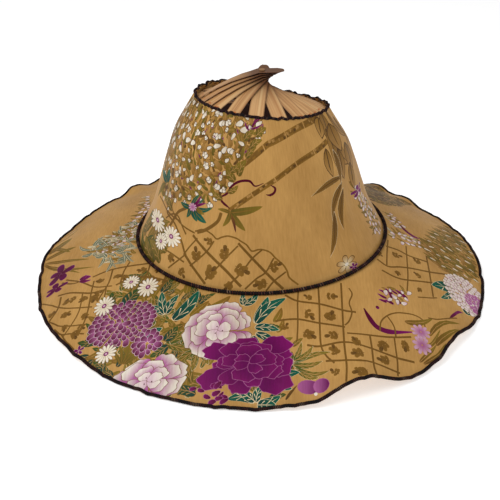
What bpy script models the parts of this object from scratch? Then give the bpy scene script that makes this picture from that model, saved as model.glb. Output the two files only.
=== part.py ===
"""Folding bamboo sun hat: bamboo slats pinned at the apex, a bell-shaped cloth crown under them
and a drooping, wavy cloth brim, all bound with black overlocked edges.

Metres, +Z up. The hat rests on z = 0 as it does on a table, the front of the brim is at -Y and
azimuths are counted from +X, counterclockwise seen from above.
"""
from math import cos, pi, radians

import bmesh
import bpy
import numpy as np

# Cloth and gaps
CLOTH = 0.0012                  # thickness of the crown's and the brim's cloth
GAP = 0.0003                    # clear space between pieces that touch
MERGE = 0.00005                 # merge distance of the sheets' seams

# Where the middle of the brim lies, so that the hat's box is centred on the origin
MIDDLE = (-0.00107, 0, 0)

# Brim: the centre line of its black edge
BRIM_RADIUS = 0.1775
BRIM_EDGE_THICK = 0.0026
BRIM_EDGE_LIFT = 0.0040         # how high the edge hangs over the table where no wave reaches it
BRIM_BOW = 0.0030               # how far the brim bulges up between the waist and its edge
BRIM_WAVE_START = 3.0           # power with which the waves grow from the waist to the edge
BRIM_AROUND = 90
BRIM_ACROSS = 6

# The brim's waves and feet: where each is centred, how far it reaches to both sides, how far it
# lifts the edge (down to the table at most) and how far it pushes the edge outwards
BRIM_WAVES = (
    # azimuth, half width (degrees), lift, reach (metres)
    (-170, 20, -0.0060, -0.0016),       # left foot
    (-109, 38, -0.0075, 0.0000),        # front foot
    (-68, 12, 0.0110, -0.0010),         # ruffle that stands up, right of the front
    (-52, 9, -0.0025, 0.0006),
    (-37, 11, 0.0035, -0.0028),
    (-14, 22, -0.0060, 0.0004),         # right foot
    (10, 32, 0.0020, 0.0016),
    (41, 7, 0.0038, 0.0008),
    (51, 7, 0.0058, 0.0012),
    (68, 12, 0.0030, 0.0000),
    (91, 24, -0.0062, 0.0000),          # back foot
    (119, 9, 0.0068, 0.0016),
    (130, 7, 0.0055, 0.0010),
    (159, 20, -0.0032, -0.0004),
)

# Crown: the waist, where the brim is sewn on, and the centre line of the edge round the top opening
WAIST = {"radius": 0.0979, "x": 0.0016, "y": 0.0091, "z": 0.0341, "to_right": 0.0334, "to_back": 0.0}
TOP = {"radius": 0.0492, "x": 0.0014, "y": 0.0095, "z": 0.1452, "to_right": -0.0885, "to_back": -0.07}

# The opening dips at the back, where the lowest slats of the stack lie
TOP_DIP = 0.0068
TOP_DIP_AZIMUTH = radians(62)
TOP_DIP_HALF_WIDTH = radians(85)
CROWN_AROUND = 88
CROWN_ACROSS = 8

# The bell's outline between the two: share of the height, radius of the outer face
CROWN_PROFILE = (
    (0.00, 0.0979),
    (0.10, 0.0929),
    (0.22, 0.0863),
    (0.40, 0.0794),
    (0.60, 0.0724),
    (0.78, 0.0648),
    (0.90, 0.0566),
    (1.00, 0.0492),
)

# Soft upright folds in the crown's satin: azimuth, half width (degrees), depth, and the share of
# the height where each is deepest
CROWN_FOLDS = (
    (-64, 9, 0.0007, 0.35),
    (-47, 7, 0.0010, 0.30),
    (-31, 9, 0.0012, 0.45),
    (-12, 8, 0.0010, 0.35),
    (16, 10, 0.0012, 0.45),
    (62, 11, 0.0010, 0.35),
    (105, 12, 0.0012, 0.45),
    (147, 10, 0.0010, 0.40),
    (-158, 9, 0.0009, 0.35),
    (-128, 8, 0.0007, 0.30),
)

# Gathers round the top opening, one for each slat: slight at the front, full at the back
RUFFLES = 22
RUFFLE_FRONT = 0.0003
RUFFLE_BACK = 0.0017
RUFFLE_START = 8.0              # power with which they grow towards the opening
RUFFLE_PHASE = radians(-94)     # a dip faces the front slat

# Black overlocked cords
WAIST_CORD_THICK = 0.0032
WAIST_CORD_SEAT = 0.0023        # from the corner of crown and brim to the cord's middle
WAIST_CORD_STEPS = 54
CROWN_EDGE_THICK = 0.0024

# Slats: thin bamboo strips, stacked like a stair round the pivot, the lowest first, clockwise
SLAT_THICK = 0.00045
SLAT_LOWEST = -0.0045           # lowest slat at the pivot, over the opening's plane
SLAT_HUB_WIDTH = 0.0100
SLAT_END_WIDTH = 0.0112
SLAT_ROUND = 0.6                # share of the dome that is rounded rather than straight
SLAT_HOLE = 0.0032              # diameter
SLAT_HUB_FLAT = 0.0030          # half length of the flat stretch round the hole
SLAT_DOME = (0.18, 0.30, 0.48, 0.70, 0.88)  # shares of the way out where the dome is bent
SLAT_LEAN = 0.02                # least slope across a slat, down clockwise
SLAT_SPARE = 0.0006             # more room between neighbours, where their slopes change

# The end of a slat under the cloth: share of the crown's height, and how far inside its outer face
SLAT_UNDER = (
    (0.97, 0.0031),
    (0.89, 0.0038),
    (0.81, 0.0040),
)

# Where the slats lie: first azimuth, step from one to the next (degrees), rise from one to the
# next at the pivot, how many
SLAT_FAN = (
    ("back", 167, -17.5, 0.00118, 9),
    ("right", 11, -14, 0.00100, 3),
    ("front right", -28, -10, 0.00100, 2),
    ("front", -52, -22, 0.00140, 4),
    ("left", -138, -12.5, 0.00150, 4),
)

# Tails: length beyond the pivot, and how high the end is bent up
SLAT_TAILS = (
    # first slat, tail, bend
    (1, 0.0170, 0.0000),
    (17, 0.0205, 0.0050),
    (18, 0.0090, 0.0000),
    (19, 0.0105, 0.0000),
    (20, 0.0130, 0.0000),
    (21, 0.0145, 0.0000),
    (22, 0.0165, 0.0000),
)
SLAT_BEND_START = 0.0095        # from the pivot

# Pivot pin with a flat head at both ends
PIN_THICK = 0.0026
PIN_HEAD = 0.0046
PIN_HEAD_THICK = 0.0006

COLOURS = {
    # red, green, blue, roughness
    "printed_satin": (0.58, 0.39, 0.17, 0.50),
    "overlock_thread": (0.012, 0.009, 0.010, 0.75),
    "bamboo": (0.60, 0.41, 0.22, 0.45),
}


def smooth_curve(table, places):
    """Cubic curve through a table of (place, value), level in slope with the chords around it."""
    known, values = np.array(table).T
    slopes = np.gradient(values, known)
    index = np.clip(np.searchsorted(known, places) - 1, 0, len(known) - 2)
    length = known[index + 1] - known[index]
    s = (places - known[index]) / length
    return (values[index] * (1 + 2 * s) * (1 - s) ** 2
            + values[index + 1] * s * s * (3 - 2 * s)
            + length * (slopes[index] * s * (1 - s) ** 2 - slopes[index + 1] * s * s * (1 - s)))


def bump(azimuth, centre, half_width):
    """1 at the centre, falling as a squared cosine to 0 at the half width; angles in radians."""
    away = np.abs((azimuth - centre + pi) % (2 * pi) - pi)
    return np.cos(np.minimum(away / half_width, 1) * pi / 2) ** 2


def brim_edge(azimuth):
    """Radius and height of the centre line of the brim's black edge, and of the edge without waves."""
    lift = np.full_like(azimuth, BRIM_EDGE_LIFT)
    reach = np.zeros_like(azimuth)
    for centre, half_width, rise, push in BRIM_WAVES:
        share = bump(azimuth, radians(centre), radians(half_width))
        lift += rise * share
        reach += push * share
    # An eight-sided edge lies on the flat of its section
    lying = BRIM_EDGE_THICK / 2 * cos(pi / 8)
    return BRIM_RADIUS + reach, lying + np.maximum(lift, 0)


def ring_point(ring, azimuth, outwards=0.0, upwards=0.0):
    """Points of a level or sloping ring, each moved outwards and upwards."""
    x = ring["radius"] * np.cos(azimuth)
    y = ring["radius"] * np.sin(azimuth)
    height = ring["z"] + ring["to_right"] * x + ring["to_back"] * y + upwards
    return np.stack([ring["x"] + x + outwards * np.cos(azimuth),
                     ring["y"] + y + outwards * np.sin(azimuth),
                     height + 0 * azimuth], axis=-1)


def ruffle(azimuth, share):
    """How far the gathers push the crown out, and up, near its top opening."""
    back = (1 + np.sin(azimuth)) / 2
    size = RUFFLE_FRONT + (RUFFLE_BACK - RUFFLE_FRONT) * back
    return size * (1 - np.cos(RUFFLES * (azimuth - RUFFLE_PHASE))) / 2 * share ** RUFFLE_START


def crown_point(azimuth, share, inwards=0.0, gathered=1.0):
    """A point of the crown's outer face, share 0 at the waist and 1 at the top opening."""
    radius = smooth_curve(CROWN_PROFILE, share)
    for centre, half_width, depth, deepest in CROWN_FOLDS:
        along = np.exp(-((share - deepest) / 0.25) ** 2)
        radius = radius - depth * along * bump(azimuth, radians(centre), radians(half_width))
    pushed = gathered * ruffle(azimuth, share)
    radius = radius + pushed - inwards
    mid = {key: WAIST[key] + (TOP[key] - WAIST[key]) * share for key in WAIST}
    x = radius * np.cos(azimuth)
    y = radius * np.sin(azimuth)
    dip = TOP_DIP * share ** 2 * bump(azimuth, TOP_DIP_AZIMUTH, TOP_DIP_HALF_WIDTH)
    z = mid["z"] + mid["to_right"] * x + mid["to_back"] * y + 0.5 * pushed - dip
    return np.stack([mid["x"] + x, mid["y"] + y, z], axis=-1)


def brim_point(azimuth, share):
    """A point of the brim's upper face, share 0 at the waist and 1 next to its black edge."""
    inner = ring_point(WAIST, azimuth, outwards=GAP)
    radius, height = brim_edge(azimuth)
    rim = radius - BRIM_EDGE_THICK / 2 - GAP
    flat_rim = BRIM_RADIUS - BRIM_EDGE_THICK / 2 - GAP
    flat_height = BRIM_EDGE_THICK / 2 + BRIM_EDGE_LIFT + CLOTH / 2
    growth = share ** BRIM_WAVE_START
    out = flat_rim * share + (rim - flat_rim) * growth
    x = inner[..., 0] * (1 - share) + out * np.cos(azimuth)
    y = inner[..., 1] * (1 - share) + out * np.sin(azimuth)
    z = (inner[..., 2] * (1 - share) + flat_height * share
         + (height + CLOTH / 2 - flat_height) * growth
         + 4 * BRIM_BOW * share * (1 - share))
    return np.stack([x, y, z], axis=-1)


def material(name):
    made = bpy.data.materials.get(name)
    if made is None:
        made = bpy.data.materials.new(name)
        made.use_nodes = True
        surface = made.node_tree.nodes["Principled BSDF"]
        red, green, blue, roughness = COLOURS[name]
        surface.inputs["Base Color"].default_value = (red, green, blue, 1)
        surface.inputs["Roughness"].default_value = roughness
        surface.inputs["Metallic"].default_value = 0
    return made


def piece(name, data, finish, parent, collection):
    made = bpy.data.objects.new(name, data)
    made.parent = parent
    data.materials.append(material(finish))
    collection.objects.link(made)
    return made


def sheet_mesh(name, steps_u, steps_v, surface):
    """A grid whose corners are moved onto surface(u, v), u and v from 0 to 1, seams merged."""
    mesh = bpy.data.meshes.new(name)
    bm = bmesh.new()
    bmesh.ops.create_grid(bm, x_segments=steps_u, y_segments=steps_v, size=0.5)
    bm.verts.ensure_lookup_table()
    flat = np.array([vert.co[:2] for vert in bm.verts]) + 0.5
    for vert, place in zip(bm.verts, surface(flat[:, 0], flat[:, 1])):
        vert.co = place
    bmesh.ops.remove_doubles(bm, verts=bm.verts, dist=MERGE)
    bm.to_mesh(mesh)
    bm.free()
    mesh.shade_smooth()
    return mesh


def thicken(made, thickness, offset):
    wall = made.modifiers.new("wall", 'SOLIDIFY')
    wall.thickness = thickness
    wall.offset = offset
    wall.use_even_offset = True


def cord(name, places, thickness, sides, parent, collection):
    """A closed cord whose section stays upright, with a flat of the section underneath."""
    curve = bpy.data.curves.new(name, 'CURVE')
    curve.dimensions = '3D'
    curve.twist_mode = 'Z_UP'
    curve.bevel_depth = thickness / 2
    curve.bevel_resolution = sides // 2 - 2
    spline = curve.splines.new('POLY')
    spline.points.add(len(places) - 1)
    for point, place in zip(spline.points, places):
        point.co = (*place, 1)
        point.tilt = pi / sides
    spline.use_cyclic_u = True
    return piece(name, curve, "overlock_thread", parent, collection)


def turns(steps):
    return np.linspace(0, 2 * pi, steps, endpoint=False)


def make_crown(hat, collection):
    def outer_face(u, v):
        # The cloth stops short of the black edge's cord, and starts just over the brim
        height = TOP["z"] - WAIST["z"]
        low = GAP / height
        high = 1 - (CROWN_EDGE_THICK / 2 + GAP) / height
        return crown_point(u * 2 * pi, low + v * (high - low))

    made = piece("crown_cloth", sheet_mesh("crown_cloth", CROWN_AROUND, CROWN_ACROSS, outer_face),
                 "printed_satin", hat, collection)
    thicken(made, CLOTH, -1)
    azimuth = turns(CROWN_AROUND)
    top = crown_point(azimuth, np.ones_like(azimuth))
    cord("crown_edging", top, CROWN_EDGE_THICK, 6, hat, collection)


def make_brim(hat, collection):
    def upper_face(u, v):
        return brim_point(-u * 2 * pi, v)

    made = piece("brim_cloth", sheet_mesh("brim_cloth", BRIM_AROUND, BRIM_ACROSS, upper_face),
                 "printed_satin", hat, collection)
    thicken(made, CLOTH, -1)
    azimuth = turns(BRIM_AROUND)
    radius, height = brim_edge(azimuth)
    edge = np.stack([radius * np.cos(azimuth), radius * np.sin(azimuth), height], axis=-1)
    cord("brim_edging", edge, BRIM_EDGE_THICK, 8, hat, collection)


def make_waist_cord(hat, collection):
    azimuth = turns(WAIST_CORD_STEPS)
    seat = WAIST_CORD_SEAT * cos(pi / 4)
    places = ring_point(WAIST, azimuth, outwards=seat, upwards=seat)
    cord("waist_cord", places, WAIST_CORD_THICK, 6, hat, collection)


def slat_fan():
    """Azimuth and height at the pivot of every slat, the lowest first."""
    azimuths, heights = [], []
    height = TOP["z"] + SLAT_LOWEST
    for _, first, step, rise, count in SLAT_FAN:
        for i in range(count):
            azimuths.append(radians(first + step * i))
            heights.append(height)
            height += rise
    return np.array(azimuths), np.array(heights)


def shingle_slopes(azimuths, heights, distance, spare=0.0):
    """Slope across each slat that keeps it clear of the next one, which lies over its clockwise edge.

    Two neighbours that lean by the same slope are apart by their difference in height and by
    the slope times the way from one to the other. Spare is added to that, for the slats' twist.
    """
    apart = distance * -np.diff(azimuths)
    needed = (SLAT_THICK + GAP + spare - np.diff(heights)) / apart
    return np.maximum(SLAT_LEAN, np.maximum(np.append(needed, 0), np.insert(needed, 0, 0)))


def slat_stations(azimuths, hubs):
    """Stations from the tail's end outwards, each with arrays over all slats.

    Distance from the pivot, height, half width and slope across.
    """
    zero = np.zeros_like(azimuths)
    half, end_half = SLAT_HUB_WIDTH / 2, SLAT_END_WIDTH / 2
    numbers = np.arange(1, len(azimuths) + 1)
    tails, bends = np.array([[row[1:] for row in SLAT_TAILS if row[0] <= n][-1] for n in numbers]).T
    stations = []
    for back, share in ((0, 0.42), (0.0008, 0.72), (0.0030, 1.0)):
        bent = np.clip((tails - back - SLAT_BEND_START) / (tails - SLAT_BEND_START), 0, 1)
        stations.append((back - tails, hubs + bends * bent, zero + half * share, zero))
    stations.append((zero - np.minimum(SLAT_BEND_START, tails / 2), hubs, zero + half, zero))
    stations += [(zero + side * SLAT_HUB_FLAT, hubs, zero + half, zero) for side in (-1, 1)]
    under = [crown_point(azimuths, zero + share, inset, gathered=0.0) for share, inset in SLAT_UNDER]
    radii = [np.hypot(p[:, 0] - TOP["x"], p[:, 1] - TOP["y"]) for p in under]
    for share in SLAT_DOME:
        # A straight fall from pivot to cloth, mixed with a rounded one
        left = (1 - share ** 2) * SLAT_ROUND + (1 - share) * (1 - SLAT_ROUND)
        height = under[0][:, 2] + (hubs - under[0][:, 2]) * left
        slope = shingle_slopes(azimuths, height, share * radii[0].mean(),
                               SLAT_SPARE * min(1, share / 0.4))
        stations.append((share * radii[0], height, zero + half + (end_half - half) * share, slope))
    for radius, point in zip(radii, under):
        # The wall is steep, so about half of a difference in height sets neighbours apart
        slope = shingle_slopes(azimuths, point[:, 2] / 2, radius.mean())
        stations.append((radius, point[:, 2], zero + end_half, slope))
    return np.array(stations)


def make_slat(number, azimuth, rows, hat, collection, hole):
    """A strip along rows of (distance, height, half width, slope across), thickened and bored."""
    ahead = np.gradient(rows[:, :2], axis=0)
    ahead /= np.linalg.norm(ahead, axis=1)[:, None]
    outwards = np.array([cos(azimuth), np.sin(azimuth), 0])
    leftwards = np.array([-np.sin(azimuth), cos(azimuth), 0])
    up = np.array([0, 0, 1])
    middle = np.array([TOP["x"], TOP["y"], 0]) + rows[:, :1] * outwards + rows[:, 1:2] * up
    normal = ahead[:, :1] * up - ahead[:, 1:] * outwards
    across = (leftwards + rows[:, 3:] * normal) * rows[:, 2:3]

    def strip(u, v):
        index = np.rint(u * (len(rows) - 1)).astype(int)
        return middle[index] + (2 * v - 1)[:, None] * across[index]

    name = f"slat_{number:02d}"
    made = piece(name, sheet_mesh(name, len(rows) - 1, 1, strip), "bamboo", hat, collection)
    thicken(made, SLAT_THICK, 0)
    bore = made.modifiers.new("bore", 'BOOLEAN')
    bore.operation = 'DIFFERENCE'
    bore.solver = 'EXACT'
    bore.object = hole


def cylinder(bm, diameter, bottom, top, sides):
    made = bmesh.ops.create_cone(bm, cap_ends=True, segments=sides, radius1=diameter / 2,
                                 radius2=diameter / 2, depth=top - bottom)
    bmesh.ops.translate(bm, verts=made["verts"], vec=(0, 0, (bottom + top) / 2))


def make_slats(hat, collection, cutters):
    azimuths, hubs = slat_fan()
    bore_mesh = bpy.data.meshes.new("slat_bore")
    bm = bmesh.new()
    cylinder(bm, SLAT_HOLE, hubs[0] - SLAT_HOLE, hubs[-1] + SLAT_HOLE, 8)
    bm.to_mesh(bore_mesh)
    bm.free()
    hole = bpy.data.objects.new("slat_bore", bore_mesh)
    hole.location = (TOP["x"], TOP["y"], 0)
    hole.parent = hat
    hole.hide_render = True
    hole.display_type = 'WIRE'
    cutters.objects.link(hole)
    stations = slat_stations(azimuths, hubs)
    for number, azimuth in enumerate(azimuths, start=1):
        make_slat(number, azimuth, stations[:, :, number - 1], hat, collection, hole)
    return hubs[0], hubs[-1]


def make_pin(lowest, highest, hat, collection):
    """A turned pin: a profile from the axis out to each head, down its outer side and back."""
    low = lowest - SLAT_THICK / 2 - GAP
    high = highest + SLAT_THICK / 2 + GAP
    profile = [(0, high + PIN_HEAD_THICK), (PIN_HEAD / 2, high + PIN_HEAD_THICK), (PIN_HEAD / 2, high),
               (PIN_THICK / 2, high), (PIN_THICK / 2, low), (PIN_HEAD / 2, low),
               (PIN_HEAD / 2, low - PIN_HEAD_THICK), (0, low - PIN_HEAD_THICK)]
    mesh = bpy.data.meshes.new("pivot_pin")
    bm = bmesh.new()
    points = [bm.verts.new((r, 0, z)) for r, z in profile]
    for first, second in zip(points, points[1:]):
        bm.edges.new((first, second))
    bm.to_mesh(mesh)
    bm.free()
    made = piece("pivot_pin", mesh, "bamboo", hat, collection)
    made.location = (TOP["x"], TOP["y"], 0)
    turned = made.modifiers.new("turned", 'SCREW')
    turned.steps = 12
    turned.render_steps = 12
    turned.use_merge_vertices = True
    turned.merge_threshold = MERGE


def main():
    for old in list(bpy.data.objects):
        bpy.data.objects.remove(old)
    collection = bpy.data.collections.new("bamboo_sun_hat")
    cutters = bpy.data.collections.new("cutters")
    bpy.context.scene.collection.children.link(collection)
    bpy.context.scene.collection.children.link(cutters)
    hat = bpy.data.objects.new("hat", None)
    hat.location = MIDDLE
    collection.objects.link(hat)
    make_brim(hat, collection)
    make_crown(hat, collection)
    make_waist_cord(hat, collection)
    lowest, highest = make_slats(hat, collection, cutters)
    make_pin(lowest, highest, hat, collection)


main()
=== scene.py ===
from math import cos, pi, radians, sin

import bpy
import numpy as np
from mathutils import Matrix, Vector
from mathutils.bvhtree import BVHTree
from mathutils.geometry import delaunay_2d_cdt


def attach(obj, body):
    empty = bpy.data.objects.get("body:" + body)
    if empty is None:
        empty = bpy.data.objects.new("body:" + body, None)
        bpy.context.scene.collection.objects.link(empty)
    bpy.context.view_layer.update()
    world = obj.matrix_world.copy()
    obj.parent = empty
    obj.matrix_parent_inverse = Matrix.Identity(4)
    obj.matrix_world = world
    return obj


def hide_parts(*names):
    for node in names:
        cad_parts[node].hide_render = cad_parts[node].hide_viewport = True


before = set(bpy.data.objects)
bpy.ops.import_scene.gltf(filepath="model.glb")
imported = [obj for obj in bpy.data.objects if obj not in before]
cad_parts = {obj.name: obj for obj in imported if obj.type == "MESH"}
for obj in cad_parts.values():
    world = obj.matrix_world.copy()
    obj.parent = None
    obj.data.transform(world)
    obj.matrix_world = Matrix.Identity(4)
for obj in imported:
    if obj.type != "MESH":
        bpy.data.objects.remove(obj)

scene = bpy.context.scene
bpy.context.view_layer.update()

# Shape, repeated from the part's source, in metres
CLOTH = 0.0012
GAP = 0.0003
MIDDLE = np.array([-0.00107, 0, 0])
BRIM_RADIUS = 0.1775
BRIM_EDGE_THICK = 0.0026
BRIM_EDGE_LIFT = 0.0040
BRIM_BOW = 0.0030
BRIM_WAVE_START = 3.0
BRIM_WAVES = (
    # azimuth, half width (degrees), lift, reach (metres)
    (-170, 20, -0.0060, -0.0016),
    (-109, 38, -0.0075, 0.0000),
    (-68, 12, 0.0110, -0.0010),
    (-52, 9, -0.0025, 0.0006),
    (-37, 11, 0.0035, -0.0028),
    (-14, 22, -0.0060, 0.0004),
    (10, 32, 0.0020, 0.0016),
    (41, 7, 0.0038, 0.0008),
    (51, 7, 0.0058, 0.0012),
    (68, 12, 0.0030, 0.0000),
    (91, 24, -0.0062, 0.0000),
    (119, 9, 0.0068, 0.0016),
    (130, 7, 0.0055, 0.0010),
    (159, 20, -0.0032, -0.0004),
)
# The rings where the crown starts and ends: radius, middle, and how they rise to the right and to the back
WAIST = {"radius": 0.0979, "x": 0.0016, "y": 0.0091, "z": 0.0341, "to_right": 0.0334, "to_back": 0.0}
TOP = {"radius": 0.0492, "x": 0.0014, "y": 0.0095, "z": 0.1452, "to_right": -0.0885, "to_back": -0.07}
TOP_DIP = 0.0068
TOP_DIP_AZIMUTH = radians(62)
TOP_DIP_HALF_WIDTH = radians(85)
CROWN_PROFILE = (
    # share of the height, radius
    (0.00, 0.0979),
    (0.10, 0.0929),
    (0.22, 0.0863),
    (0.40, 0.0794),
    (0.60, 0.0724),
    (0.78, 0.0648),
    (0.90, 0.0566),
    (1.00, 0.0492),
)
CROWN_FOLDS = (
    # azimuth, half width (degrees), depth, share of the height where it is deepest
    (-64, 9, 0.0007, 0.35),
    (-47, 7, 0.0010, 0.30),
    (-31, 9, 0.0012, 0.45),
    (-12, 8, 0.0010, 0.35),
    (16, 10, 0.0012, 0.45),
    (62, 11, 0.0010, 0.35),
    (105, 12, 0.0012, 0.45),
    (147, 10, 0.0010, 0.40),
    (-158, 9, 0.0009, 0.35),
    (-128, 8, 0.0007, 0.30),
)
RUFFLES = 22
RUFFLE_FRONT = 0.0003
RUFFLE_BACK = 0.0017
RUFFLE_START = 8.0
RUFFLE_PHASE = radians(-94)
WAIST_CORD_SEAT = 0.0019        # from the corner of crown and brim to the cord's middle
SLAT_THICK = 0.00045
SLAT_LOWEST = -0.0045
SLAT_HUB_WIDTH = 0.0100
SLAT_END_WIDTH = 0.0112
SLAT_ROUND = 0.6
SLAT_HUB_FLAT = 0.0030
SLAT_DOME = (0.18, 0.30, 0.48, 0.70, 0.88)
SLAT_LEAN = 0.02
SLAT_SPARE = 0.0006
SLAT_UNDER = (
    # share of the crown's height, how far inside its outer face
    (0.97, 0.0031),
    (0.89, 0.0038),
    (0.81, 0.0040),
)
SLAT_FAN = (
    # first azimuth, step (degrees), rise from one to the next, how many
    (167, -17.5, 0.00118, 9),
    (11, -14, 0.00100, 3),
    (-28, -10, 0.00100, 2),
    (-52, -22, 0.00140, 4),
    (-138, -12.5, 0.00150, 4),
)
SLAT_TAILS = (
    # first slat, tail, bend
    (1, 0.0170, 0.0000),
    (17, 0.0205, 0.0050),
    (18, 0.0090, 0.0000),
    (19, 0.0105, 0.0000),
    (20, 0.0130, 0.0000),
    (21, 0.0145, 0.0000),
    (22, 0.0165, 0.0000),
)
SLAT_BEND_START = 0.0095
SLAT_TAIL_END = (
    # distance from the tail's end, share of the slat's half width
    (0.0000, 0.34),
    (0.0010, 0.62),
    (0.0045, 1.00),
)
SLAT_NARROWER = {10: 0.88, 11: 0.82, 12: 0.74, 13: 0.66, 14: 0.76}    # slits between the slats on the right
SLAT_ALONG = 4                  # steps between two stations
SLAT_ACROSS = (-1.0, -0.97, -0.5, 0.0, 0.5, 0.97, 1.0)
SLAT_RIM_THIN = 0.35            # the rims' share of the thickness


# The camera that fits the photograph
CAMERA_TILT = radians(29.6)
CAMERA_AWAY = 0.75
CAMERA_AIM = (-0.0074, 0.0197)  # right of the brim's middle, and up
CAMERA_LENS = 66.96
PHOTO_MIDDLE = 250              # picture points from the photograph's edges to its middle
PHOTO_FOCAL = 930.0             # the camera's lens in picture points


def smooth_curve(table, places):
    """Cubic curve through a table of (place, value), level in slope with the chords around it."""
    known, values = np.array(table).T
    slopes = np.gradient(values, known)
    index = np.clip(np.searchsorted(known, places) - 1, 0, len(known) - 2)
    length = known[index + 1] - known[index]
    s = (places - known[index]) / length
    return (values[index] * (1 + 2 * s) * (1 - s) ** 2
            + values[index + 1] * s * s * (3 - 2 * s)
            + length * (slopes[index] * s * (1 - s) ** 2 - slopes[index + 1] * s * s * (1 - s)))


def bump(azimuth, centre, half_width):
    """1 at the centre, falling as a squared cosine to 0 at the half width; angles in radians."""
    away = np.abs((azimuth - centre + pi) % (2 * pi) - pi)
    return np.cos(np.minimum(away / half_width, 1) * pi / 2) ** 2


def brim_edge(azimuth):
    """Radius and height of the centre line of the brim's black edge."""
    lift = np.full_like(azimuth, BRIM_EDGE_LIFT)
    reach = np.zeros_like(azimuth)
    for centre, half_width, rise, push in BRIM_WAVES:
        share = bump(azimuth, radians(centre), radians(half_width))
        lift += rise * share
        reach += push * share
    lying = BRIM_EDGE_THICK / 2 * cos(pi / 8)
    return BRIM_RADIUS + reach, lying + np.maximum(lift, 0)


EDGE_RIPPLES = (
    # number in a turn, size, phase
    (31, 1.0, 0.4),
    (47, 0.8, 1.1),
    (66, 0.6, 3.0),
    (89, 0.4, 5.2),
)
EDGE_RIPPLE_OUT = 0.00024
EDGE_RIPPLE_UP = 0.0007
EDGE_RIPPLE_START = 5.0


def edge_ripple(azimuth):
    """Small puckers along the brim's edge, drawn up by its thread: how far out and how far up."""
    out, up = (sum(size * np.sin(number * azimuth + phase + shift) for number, size, phase in EDGE_RIPPLES)
               for shift in (0.0, 1.7))
    return EDGE_RIPPLE_OUT * out, EDGE_RIPPLE_UP * np.abs(up) / 2


def ring_point(ring, azimuth, outwards, upwards=0.0):
    """A place on a tilted ring, moved outwards and upwards."""
    x = ring["radius"] * np.cos(azimuth)
    y = ring["radius"] * np.sin(azimuth)
    height = ring["z"] + ring["to_right"] * x + ring["to_back"] * y + upwards
    return np.stack([ring["x"] + x + outwards * np.cos(azimuth),
                     ring["y"] + y + outwards * np.sin(azimuth),
                     height + 0 * azimuth], axis=-1)


def ruffle(azimuth, share):
    """How far the gathers push the crown's cloth out, the most at the back of its top opening."""
    back = (1 + np.sin(azimuth)) / 2
    size = RUFFLE_FRONT + (RUFFLE_BACK - RUFFLE_FRONT) * back
    return size * (1 - np.cos(RUFFLES * (azimuth - RUFFLE_PHASE))) / 2 * share ** RUFFLE_START


def crown_point(azimuth, share, inwards=0.0, gathered=1.0):
    """A point of the crown's outer face, share 0 at the waist and 1 at the top opening."""
    radius = smooth_curve(CROWN_PROFILE, share)
    for centre, half_width, depth, deepest in CROWN_FOLDS:
        along = np.exp(-((share - deepest) / 0.25) ** 2)
        radius = radius - depth * along * bump(azimuth, radians(centre), radians(half_width))
    pushed = gathered * ruffle(azimuth, share)
    radius = radius + pushed - inwards
    mid = {key: WAIST[key] + (TOP[key] - WAIST[key]) * share for key in WAIST}
    x = radius * np.cos(azimuth)
    y = radius * np.sin(azimuth)
    dip = TOP_DIP * share ** 2 * bump(azimuth, TOP_DIP_AZIMUTH, TOP_DIP_HALF_WIDTH)
    z = mid["z"] + mid["to_right"] * x + mid["to_back"] * y + 0.5 * pushed - dip
    return np.stack([mid["x"] + x, mid["y"] + y, z], axis=-1)


def brim_point(azimuth, share):
    """A point of the brim's upper face, share 0 at the waist and 1 next to its black edge."""
    inner = ring_point(WAIST, azimuth, outwards=GAP)
    radius, height = brim_edge(azimuth)
    out_ripple, up_ripple = edge_ripple(azimuth)
    rim = radius + out_ripple - BRIM_EDGE_THICK / 2 - GAP
    flat_rim = BRIM_RADIUS - BRIM_EDGE_THICK / 2 - GAP
    flat_height = BRIM_EDGE_THICK / 2 + BRIM_EDGE_LIFT + CLOTH / 2
    growth = share ** BRIM_WAVE_START
    out = flat_rim * share + (rim - flat_rim) * growth
    x = inner[..., 0] * (1 - share) + out * np.cos(azimuth)
    y = inner[..., 1] * (1 - share) + out * np.sin(azimuth)
    z = (inner[..., 2] * (1 - share) + flat_height * share
         + (height + CLOTH / 2 - flat_height) * growth + up_ripple * share ** EDGE_RIPPLE_START
         + 4 * BRIM_BOW * share * (1 - share))
    return np.stack([x, y, z], axis=-1)


# Flat patterns, in millimetres: the crown unrolled with its seam at the back, the brim as a flat ring
CROWN_MM_A_TURN = 490.0
CROWN_FRONT = -90.0             # azimuth where the unrolled crown's x is 0
CROWN_MM_HIGH = 115.0
BRIM_MM_IN = 98.0
BRIM_MM_WIDE = 79.0
BRIM_SHARE_OUT = 1.012          # the cloth runs on a little under its black edge
BRIM_SIDES = 360                # sides of the polygons that stand for the brim's two round edges


def crown_surface(flat, inwards=0.0):
    azimuth = np.radians(flat[:, 0] / CROWN_MM_A_TURN * 360 + CROWN_FRONT)
    return crown_point(azimuth, np.clip(flat[:, 1] / CROWN_MM_HIGH, 0, 1), inwards)


def brim_flat(azimuth_degrees, share):
    radius = BRIM_MM_IN + BRIM_MM_WIDE * share
    azimuth = np.radians(azimuth_degrees)
    return np.stack([radius * np.cos(azimuth), radius * np.sin(azimuth)], axis=-1)


def crown_flat(azimuth_degrees, share):
    x = (azimuth_degrees - CROWN_FRONT + 180) % 360 - 180
    return x / 360 * CROWN_MM_A_TURN, share * CROWN_MM_HIGH


def brim_surface(flat, inwards=0.0):
    share = (np.hypot(flat[:, 0], flat[:, 1]) - BRIM_MM_IN) / BRIM_MM_WIDE
    azimuth = np.arctan2(flat[:, 1], flat[:, 0])
    return brim_point(azimuth, np.clip(share, 0, BRIM_SHARE_OUT)) - (0, 0, inwards)


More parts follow.
